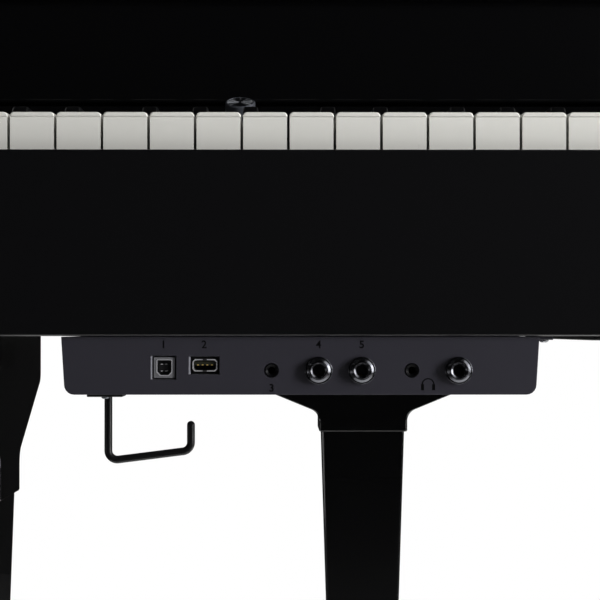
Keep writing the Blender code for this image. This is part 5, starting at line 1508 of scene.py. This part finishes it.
@dataclass
class JackBox:
    """The moulded box under the keyslip, its screws, and the headphone hook on it.

    Args:
        wire: The hook wire's radius.
        bend: The radius of its bends.
        rise: How much higher the hook's tip starts than its heel.
        lift: How far the heel stands above the node's lowest place.
        tip: How high the hook's tip stands over the low end of the bar.
        turn: The angle at which the heel's bend ends and the toe's begins, in degrees.
        plate: The thickness of its mounting plate.
        plate_width: Its width.
        hook_screw: The radius of the screw heads in it.
        hook_screw_step: How far each stands from its middle.
        screw: The radius of the screw head in the box's ear.
        margin: How far round a data socket's node the box's recess reaches.
    """

    wire: float = 0.0020
    bend: float = 0.0046
    rise: float = 0.0041
    lift: float = 0.0019
    tip: float = 0.0135
    turn: float = 278.0
    plate: float = 0.0013
    plate_width: float = 0.018
    hook_screw: float = 0.0019
    hook_screw_step: float = 0.0078
    screw: float = 0.0024
    margin: float = 0.0008

    def hook_path(self) -> list[tuple[float, float, float]]:
        """The middle line of the hook's wire: down, along a rising bar and up at its tip.

        Returns:
            The places along it.
        """
        box = NodeBox("headphone_hook")
        heel_x = box.low.x + self.plate_width * 0.55
        tip_x = box.high.x - self.wire
        low = box.low.z + self.wire + self.lift
        bend, tip_low = self.bend, low + self.rise
        tip_high = tip_low + self.tip
        points = [(heel_x, box.high.z - self.plate / 2), (heel_x, low + bend + 0.004)]
        points += arc_points((heel_x + bend, low + bend), bend, 180, self.turn, 14)
        points += arc_points((tip_x - bend, tip_low + bend), bend, self.turn, 360, 14)
        points += [(tip_x, tip_high - 0.002), (tip_x, tip_high)]
        return [(x, box.middle.y, z) for x, z in points]

    def pan_head(self, bm: BMesh, place: Matrix, radius: float) -> None:
        """Adds a low domed screw head with a cross recess.

        Args:
            bm: The mesh that gets it.
            place: The seat under the head, its Z axis out of the surface.
            radius: The head's radius.
        """
        rise = radius * 0.55
        profile = [(0.0, 0.0), (radius, 0.0), (radius * 0.96, rise * 0.45)]
        profile += [(radius * 0.72, rise * 0.85), (radius * 0.42, rise)]
        profile += [(radius * 0.30, rise * 0.55), (0.0, rise * 0.30)]
        turned_into(bm, profile, place, 20)
        for width, depth in ((radius * 0.9, radius * 0.18), (radius * 0.18, radius * 0.9)):
            low = (-width / 2, -depth / 2, rise * 0.5)
            corners = box_into(bm, low, (width / 2, depth / 2, rise * 0.72))
            bmesh.ops.transform(bm, matrix=place, verts=corners)

    def build_hook(self) -> None:
        """Builds the hook: its bent wire with a rounded tip, its plate and two screws."""
        path = self.hook_path()
        bm = bmesh.new()
        tube_into(bm, path, self.wire, 20)
        tip = Matrix.Translation(path[-1])
        cap = arc_points((0.0, 0.0), self.wire, 0, 90, 6)
        turned_into(bm, [*cap[:-1], (0.0, self.wire * 0.999)], tip, 20)
        hook = add_piece("hook_wire", bm, Finishes.painted_wire, smooth_angle=50)
        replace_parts(hook, "headphone_hook")
        box = NodeBox("headphone_hook")
        left, seat = box.low.x, box.high.z - self.plate
        bm = bmesh.new()
        box_into(bm, (left, box.low.y, seat), (left + self.plate_width, box.high.y, box.high.z))
        add_piece("hook_plate", bm, Finishes.painted_wire, bevel=0.0004)
        bm = bmesh.new()
        for side in (-1, 1):
            y = box.middle.y + side * self.hook_screw_step
            middle = Matrix.Translation((left + self.plate_width / 2, y, seat))
            self.pan_head(bm, middle @ Matrix.Rotation(math.pi, 4, "X"), self.hook_screw)
        add_piece("hook_screws", bm, Finishes.zinc_steel, smooth_angle=40)

    def build_ear(self) -> None:
        """Builds the screw through the box's ear."""
        box = NodeBox("jack_box")
        middle = Matrix.Translation((box.high.x - 0.0040, box.low.y + 0.010, box.high.z - 0.0016))
        bm = bmesh.new()
        self.pan_head(bm, middle @ Matrix.Rotation(math.pi, 4, "X"), self.screw)
        add_piece("box_ear_screw", bm, Finishes.nickel_steel, smooth_angle=40)

    def build_housing(self) -> None:
        """Builds the housing over its CAD node, with the square recesses at their own heights."""
        bm = node_shape("jack_box")
        margin = self.margin
        for node, (low_rise, high_rise) in RECESS_RISES.items():
            box = NodeBox(node)
            for vertex in bm.verts:
                place = vertex.co
                inside = box.low.x - margin < place.x < box.high.x + margin
                if inside and box.low.z - margin < place.z < box.high.z + margin:
                    place.z += high_rise if place.z > box.middle.z else low_rise
        refine("jack_box", Finishes.housing, 0.0005, bm)

    def build(self) -> None:
        """Builds the box and its hook."""
        self.build_housing()
        self.build_ear()
        self.build_hook()


@dataclass
class Legs:
    """The three legs: a bracket that slopes in to a collar, and a column that tapers to its foot.

    Args:
        wide: Half the bracket's length under the case.
        block: The height of its upright end.
        nose: The radius between that end and the slope.
        slope: The slope of its underside.
        throat: The radius between the slope and the collar.
        collar: Half the collar's side.
        front_collar_low: Where the collar of a front leg ends.
        tail_collar_low: Where the collar of the tail leg ends.
        outward: How far a front leg stands outside its node's middle.
        column: Half the column's side at its top.
        foot: Half the column's side at its foot.
        corner: The radius of its corners.
        foot_radius: The radius of the rubber pad.
        foot_height: Its height.
        edge: How far the collar's and the column's lower ends are eased.
    """

    wide: float = 0.1358
    block: float = 0.0237
    nose: float = 0.0068
    slope: float = math.radians(22.3)
    throat: float = 0.0110
    collar: float = 0.0383
    front_collar_low: float = 0.5305
    tail_collar_low: float = 0.5370
    outward: float = 0.0097
    column: float = 0.0357
    foot: float = 0.0195
    corner: float = 0.0022
    foot_radius: float = 0.016
    foot_height: float = 0.014
    edge: float = 0.0012

    def section(self, narrow: float, wide: float, z: float, centre: Vector, along_y: bool) -> list:
        """One level of a leg.

        Args:
            narrow: Half its narrow side.
            wide: Half its wide side.
            z: Its height.
            centre: The leg's middle in plan.
            along_y: Whether the wide side runs in depth.

        Returns:
            The section's points.
        """
        width, depth = (narrow, wide) if along_y else (wide, narrow)
        outline = round_box(2 * width, 2 * depth, self.corner, 5)
        return [(centre.x + x, centre.y + y, z) for x, y in outline]

    def bracket(self, top: float) -> list[tuple[float, float]]:
        """The bracket's outline from the case down to the collar, as half its length and height.

        Args:
            top: The height of the case's underside.

        Returns:
            The outline's points.
        """
        across, down = math.cos(self.slope), math.sin(self.slope)
        bend = math.degrees(self.slope) - 90.0
        corner = (self.wide - self.nose, top - self.block)
        points = [(self.wide, top), (self.wide, top - self.block * 0.5)]
        points += arc_points(corner, self.nose, 0.0, bend, 7)
        last_x, last_z = points[-1]
        meet_x = self.collar + self.throat * (1.0 - down)
        meet_z = last_z - (last_x - meet_x) * down / across
        middle = (self.collar + self.throat, meet_z - self.throat * across)
        return points + arc_points(middle, self.throat, bend + 180.0, 180.0, 9)

    def build_leg(self, node: str, along_y: bool, outward: float, collar_low: float) -> None:
        """Builds one leg over its CAD node.

        Args:
            node: The CAD leg.
            along_y: Whether its brackets run in depth.
            outward: How far it stands to the right of its node's middle.
            collar_low: Where its collar ends.
        """
        box = NodeBox(node)
        centre, top = box.middle + Vector((outward, 0.0, 0.0)), box.high.z
        edge, collar, column, foot = self.edge, self.collar, self.column, self.foot
        levels = [(collar, wide, z) for wide, z in self.bracket(top)]
        levels += [
            (collar, collar, collar_low + edge),
            (collar - edge * 0.3, collar - edge * 0.3, collar_low + edge * 0.3),
            (collar - edge, collar - edge, collar_low),
            (column, column, collar_low - 0.0002),
            (foot + 0.0004, foot + 0.0004, self.foot_height + edge),
            (foot, foot, self.foot_height),
        ]
        bm = bmesh.new()
        rings = [ring_into(bm, self.section(n, w, z, centre, along_y)) for n, w, z in levels]
        skin(bm, rings)
        leg = add_piece("lacquered_" + node, bm, Finishes.lacquer, smooth_angle=28)
        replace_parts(leg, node)
        radius, high = self.foot_radius, self.foot_height
        profile = [
            (0.0, 0.0), (radius * 0.86, 0.0), (radius * 0.97, 0.0012), (radius, 0.0040),
            (radius, high - 0.0030), (radius * 0.6, high - 0.0005), (0.0, high - 0.0005),
        ]
        bm = bmesh.new()
        turned_into(bm, profile, Matrix.Translation((centre.x, centre.y, 0.0)), 40)
        add_piece("pad_under_" + node, bm, Finishes.rubber)

    def build(self) -> None:
        """Builds the three legs."""
        self.build_leg("front_leg_left", True, -self.outward, self.front_collar_low)
        self.build_leg("front_leg_right", True, self.outward, self.front_collar_low)
        self.build_leg("tail_leg", False, 0.0, self.tail_collar_low)


@dataclass
class Case:
    """The lacquered case, its boards, the fallboard, the desk and the lid.

    Args:
        eased: How far the edges of its boards are rounded.
        slip_edge: How far the keyslip's are.
        sheet_edge: How far those of the bottom cover are.
        hinge_edge: How far those of the brass hinge are.
    """

    eased: float = 0.0010
    slip_edge: float = 0.0003
    sheet_edge: float = 0.0004
    hinge_edge: float = 0.0003

    def build(self) -> None:
        """Refines every board of the case, and its hinge."""
        gloss = (
            "rim", "cheek_block_left", "cheek_block_right", "fallboard_apron",
            "fallboard", "fallboard_lip", "music_desk", "lid", "lid_flap", "lid_prop",
        )
        for node in gloss:
            refine(node, Finishes.lacquer, self.eased)
        # The keyslip's lacquer is a paler copy: painted light.
        refine("keyslip", Finishes.slip_lacquer, self.slip_edge)
        for node in ("bottom_board", "inner_deck"):
            refine(node, Finishes.satin_board, self.eased)
        refine("bottom_cover", Finishes.powder_coat, bevel=self.sheet_edge)
        refine("lid_hinge", Finishes.polished_brass, self.hinge_edge)


@dataclass
class Lyre:
    """The pedal lyre and its brass pedals.

    Args:
        eased: How far their edges are rounded.
    """

    eased: float = 0.0008

    def build(self) -> None:
        """Refines the lyre and its pedals."""
        refine("pedal_lyre", Finishes.lacquer, self.eased)
        for side in ("left", "middle", "right"):
            refine("pedal_" + side, Finishes.polished_brass, self.eased)


@dataclass
class Electronics:
    """The loudspeakers, circuit board, supply and inlet.

    Args:
        speaker_edge: How far the loudspeakers' and grilles' edges are rounded.
        board_edge: How far the circuit board's are.
        housing_edge: How far those of the supply and the inlet are.
    """

    speaker_edge: float = 0.0003
    board_edge: float = 0.0001
    housing_edge: float = 0.0004

    def build(self) -> None:
        """Refines the electronics."""
        for side in ("left", "right"):
            refine("speaker_" + side, Finishes.paper_cone, self.speaker_edge)
            refine("speaker_grille_" + side, Finishes.powder_coat, bevel=self.speaker_edge)
        refine("main_board", Finishes.solder_mask, self.board_edge)
        refine("power_supply", Finishes.zinc_steel, self.housing_edge)
        refine("power_inlet", Finishes.socket_plastic, self.housing_edge)


@dataclass
class Studio:
    """The camera at the photograph's view, a pale floor, black flags and soft studio light.

    Args:
        place: Where the camera stands.
        lens: Its focal length in millimetres on a 36 mm sensor.
        yaw: How far it turns to the right.
        pitch: How far it looks up.
        white: The strength at which the backdrop is white.
        ambient: The strength of the soft light from all round.
        floor_white: How much of the floor's white the camera sees without light on it.
        floor_glow: How much of it a mirror sees.
        card_glow: How bright the card is in mirrors.
        reach: How far the floor goes from the middle.
        aim: Where the key light points: the face of the jack box.
        key_place: Where the key light stands and its card hangs.
        key_sides: Their width and height.
        key_power: The key light's power in watts.
        top_place: Where the top light stands.
        top_aim: Where it points.
        top_side: Its width and height.
        top_power: Its power in watts.
    """

    place: tuple[float, float, float] = (-0.401, -1.401, 0.625)
    lens: float = 115.56
    yaw: float = math.radians(0.4357)
    pitch: float = math.radians(0.8952)
    white: float = 1.0
    ambient: float = 0.12
    floor_white: float = 0.70
    floor_glow: float = 0.42
    card_glow: float = 10.0
    reach: float = 2.9
    aim: tuple[float, float, float] = (-0.39, -0.45, 0.62)
    key_place: tuple[float, float, float] = (1.85, -1.37, 0.98)
    key_sides: tuple[float, float] = (0.44, 1.40)
    key_power: float = 100.0
    top_place: tuple[float, float, float] = (0.2, 1.3, 2.7)
    top_aim: tuple[float, float, float] = (0.0, 0.0, 0.7)
    top_side: float = 1.4
    top_power: float = 55.0

    def build_camera(self) -> None:
        """Sets the camera."""
        data = bpy.data.cameras.new("photo_camera")
        data.lens = self.lens
        data.sensor_width = 36.0
        data.clip_start = 0.05
        data.clip_end = 50.0
        camera = bpy.data.objects.new("photo_camera", data)
        bpy.context.scene.collection.objects.link(camera)
        camera.location = self.place
        camera.rotation_euler = (math.pi / 2 + self.pitch, 0.0, -self.yaw)
        bpy.context.scene.camera = camera

    def build_world(self) -> None:
        """Makes the soft world: white where it is seen or mirrored, and even light elsewhere."""
        world = bpy.data.worlds.new("studio_world")
        bpy.context.scene.world = world
        world.use_nodes = True
        tree = world.node_tree
        tree.nodes.clear()
        path = add_node(tree, "ShaderNodeLightPath")
        glossy = add_node(
            tree,
            "ShaderNodeMath",
            settings={"operation": "MAXIMUM"},
            links={0: path.outputs["Is Camera Ray"], 1: path.outputs["Is Glossy Ray"]},
        )
        seen = add_node(
            tree,
            "ShaderNodeMath",
            settings={"operation": "MAXIMUM"},
            links={0: glossy.outputs[0], 1: path.outputs["Is Transmission Ray"]},
        )
        strength = add_node(
            tree,
            "ShaderNodeMapRange",
            values={"To Min": self.ambient, "To Max": self.white},
            links={"Value": seen.outputs[0]},
        )
        light = add_node(
            tree,
            "ShaderNodeBackground",
            values={"Color": (1.0, 1.0, 1.0, 1.0)},
            links={"Strength": strength.outputs["Result"]},
        )
        add_node(tree, "ShaderNodeOutputWorld", links={"Surface": light.outputs["Background"]})

    def add_light(
        self,
        name: str,
        place: Sequence[float],
        target: Sequence[float],
        sides: tuple[float, float],
        power: float,
    ) -> None:
        """Adds a soft light.

        Args:
            name: Its name.
            place: Where it stands.
            target: Where it points.
            sides: Its width and height.
            power: Its power in watts.
        """
        data = bpy.data.lights.new(name, "AREA")
        data.shape = "RECTANGLE"
        data.size, data.size_y = sides
        data.energy = power
        light = bpy.data.objects.new(name, data)
        bpy.context.scene.collection.objects.link(light)
        light.location = place
        aim = Vector(target) - Vector(place)
        light.rotation_euler = aim.to_track_quat("-Z", "Y").to_euler()
        light.visible_camera = False
        light.visible_glossy = False

    def floor_paint(self) -> bpy.types.Material:
        """Makes the floor's paint: a pale matt grey that the camera sees a little brighter.

        Returns:
            The material.
        """
        paint = Finish("matt_floor_paint", "EDEDEC", 0.80, second="E9E9E8", grain_mm=40.0).material()
        tree = paint.node_tree
        shader = next(n for n in tree.nodes if n.type == "BSDF_PRINCIPLED")
        output = next(n for n in tree.nodes if n.type == "OUTPUT_MATERIAL")
        path = add_node(tree, "ShaderNodeLightPath")
        seen = add_node(
            tree,
            "ShaderNodeMath",
            settings={"operation": "MULTIPLY"},
            values={1: self.floor_white},
            links={0: path.outputs["Is Camera Ray"]},
        )
        strength = add_node(
            tree,
            "ShaderNodeMath",
            settings={"operation": "MULTIPLY_ADD"},
            values={1: self.floor_glow},
            links={0: path.outputs["Is Glossy Ray"], 2: seen.outputs[0]},
        )
        glow = add_node(tree, "ShaderNodeEmission", links={"Strength": strength.outputs[0]})
        both = add_node(tree, "ShaderNodeAddShader", links={0: shader.outputs[0], 1: glow.outputs[0]})
        tree.links.new(both.outputs[0], output.inputs["Surface"])
        return paint

    def build_floor(self) -> None:
        """Makes the pale floor."""
        bm = bmesh.new()
        bmesh.ops.create_grid(bm, x_segments=1, y_segments=1, size=self.reach)
        mesh = bpy.data.meshes.new("studio_floor")
        bm.to_mesh(mesh)
        bm.free()
        floor = bpy.data.objects.new("studio_floor", mesh)
        bpy.context.scene.collection.objects.link(floor)
        floor.location = (0.0, 0.0, -0.0005)
        mesh.materials.append(self.floor_paint())

    def build_flags(self) -> None:
        """Hangs black flags round the set, which only mirrors see: the lacquer reflects them."""
        far, side, low = 3.3, 3.2, 0.0008
        # The white patch of floor that stays between the flags on it
        near, beside = 0.70, 0.95
        # The ceiling's left and right side, its height in front and behind, and the walls' lower part
        roof_left, roof_right, front_top, back_top, sill = -1.6, 1.2, 2.6, 3.4, 0.8
        # The gap in the left wall, between its lower and its upper part
        gap_low, gap_high = 0.25, 1.1
        walls = (
            ((-side, -far, 0.0), (side, -far, 0.0), (side, -far, front_top), (-side, -far, front_top)),
            ((roof_left, -far, front_top), (roof_right, -far, front_top),
             (roof_right, far, back_top), (roof_left, far, back_top)),
            ((-side, -far, front_top), (roof_left, -far, front_top),
             (roof_left, 0.6, 3.0), (-side, 0.6, 3.0)),
            ((-side, -far, gap_high), (-side, 0.0, gap_high), (-side, 0.0, 2.8), (-side, -far, front_top)),
            ((roof_left, far, sill), (0.4, far, sill), (0.4, far, back_top), (roof_left, far, back_top)),
            ((side, -far, 0.0), (side, far, 0.0), (side, far, sill), (side, -far, sill)),
            ((-side, -far, gap_low), (-side, far, gap_low),
             (-side, far, gap_high), (-side, -far, gap_high)),
            ((-side, far, 0.0), (side, far, 0.0), (side, far, sill), (-side, far, sill)),
            ((-side, -far, low), (side, -far, low), (side, -near, low), (-side, -near, low)),
            ((-side, near, low), (side, near, low), (side, far, low), (-side, far, low)),
            ((-side, -near, low), (-side, near, low), (-beside, near, low), (-beside, -near, low)),
            ((side, -near, low), (side, near, low), (beside, near, low), (beside, -near, low)),
        )
        bm = bmesh.new()
        for wall in walls:
            bm.faces.new(ring_into(bm, wall))
        flags = self.mirrored_only("black_flags", bm)
        cloth = Finish("black_flag_cloth", "040404", 0.95, second="060606", grain_mm=2.0)
        flags.data.materials.append(cloth.material())

    def build_card(self) -> None:
        """Hangs the bright card that lacquer and metal mirror where the key light is."""
        aim = Vector(self.aim) - Vector(self.key_place)
        stand = Matrix.Translation(self.key_place) @ aim.to_track_quat("-Z", "Y").to_matrix().to_4x4()
        wide, high = self.key_sides[0] / 2, self.key_sides[1] / 2
        corners = ((-wide, -high), (wide, -high), (wide, high), (-wide, high))
        bm = bmesh.new()
        bm.faces.new(ring_into(bm, [stand @ Vector((x, y, 0.0)) for x, y in corners]))
        card = self.mirrored_only("softbox_card", bm)
        material = bpy.data.materials.new("bright_card")
        material.use_nodes = True
        material.node_tree.nodes.clear()
        glow = add_node(
            material.node_tree,
            "ShaderNodeEmission",
            values={"Color": (1.0, 1.0, 1.0, 1.0), "Strength": self.card_glow},
        )
        add_node(material.node_tree, "ShaderNodeOutputMaterial", links={"Surface": glow.outputs[0]})
        card.data.materials.append(material)

    def mirrored_only(self, name: str, bm: BMesh) -> bpy.types.Object:
        """Adds a part of the studio that only mirrors see.

        Args:
            name: Its name.
            bm: Its mesh.

        Returns:
            Its object.
        """
        mesh = bpy.data.meshes.new(name)
        bm.to_mesh(mesh)
        bm.free()
        part = bpy.data.objects.new(name, mesh)
        bpy.context.scene.collection.objects.link(part)
        part.visible_camera = False
        part.visible_diffuse = False
        part.visible_shadow = False
        part.visible_transmission = False
        return part

    def build(self) -> None:
        """Sets up the studio."""
        scene = bpy.context.scene
        scene.view_settings.view_transform = "Standard"
        self.build_camera()
        self.build_world()
        self.build_floor()
        self.build_flags()
        self.add_light("key_softbox", self.key_place, self.aim, self.key_sides, self.key_power)
        self.build_card()
        sides = (self.top_side, self.top_side)
        self.add_light("top_softbox", self.top_place, self.top_aim, sides, self.top_power)


def main() -> None:
    """Builds the whole scene in order and reports each part of it."""
    logging.basicConfig(level=logging.INFO, format="%(name)s: %(message)s")
    parts = (
        Studio(), Keyboard(), PanelControls(), JackBox(), Sockets(), Legs(), Case(), Lyre(), Electronics()
    )
    for part in parts:
        part.build()
        LOG.info("%s is built", type(part).__name__)
    LOG.info("sizes are written")


if __name__ == "__main__":
    main()
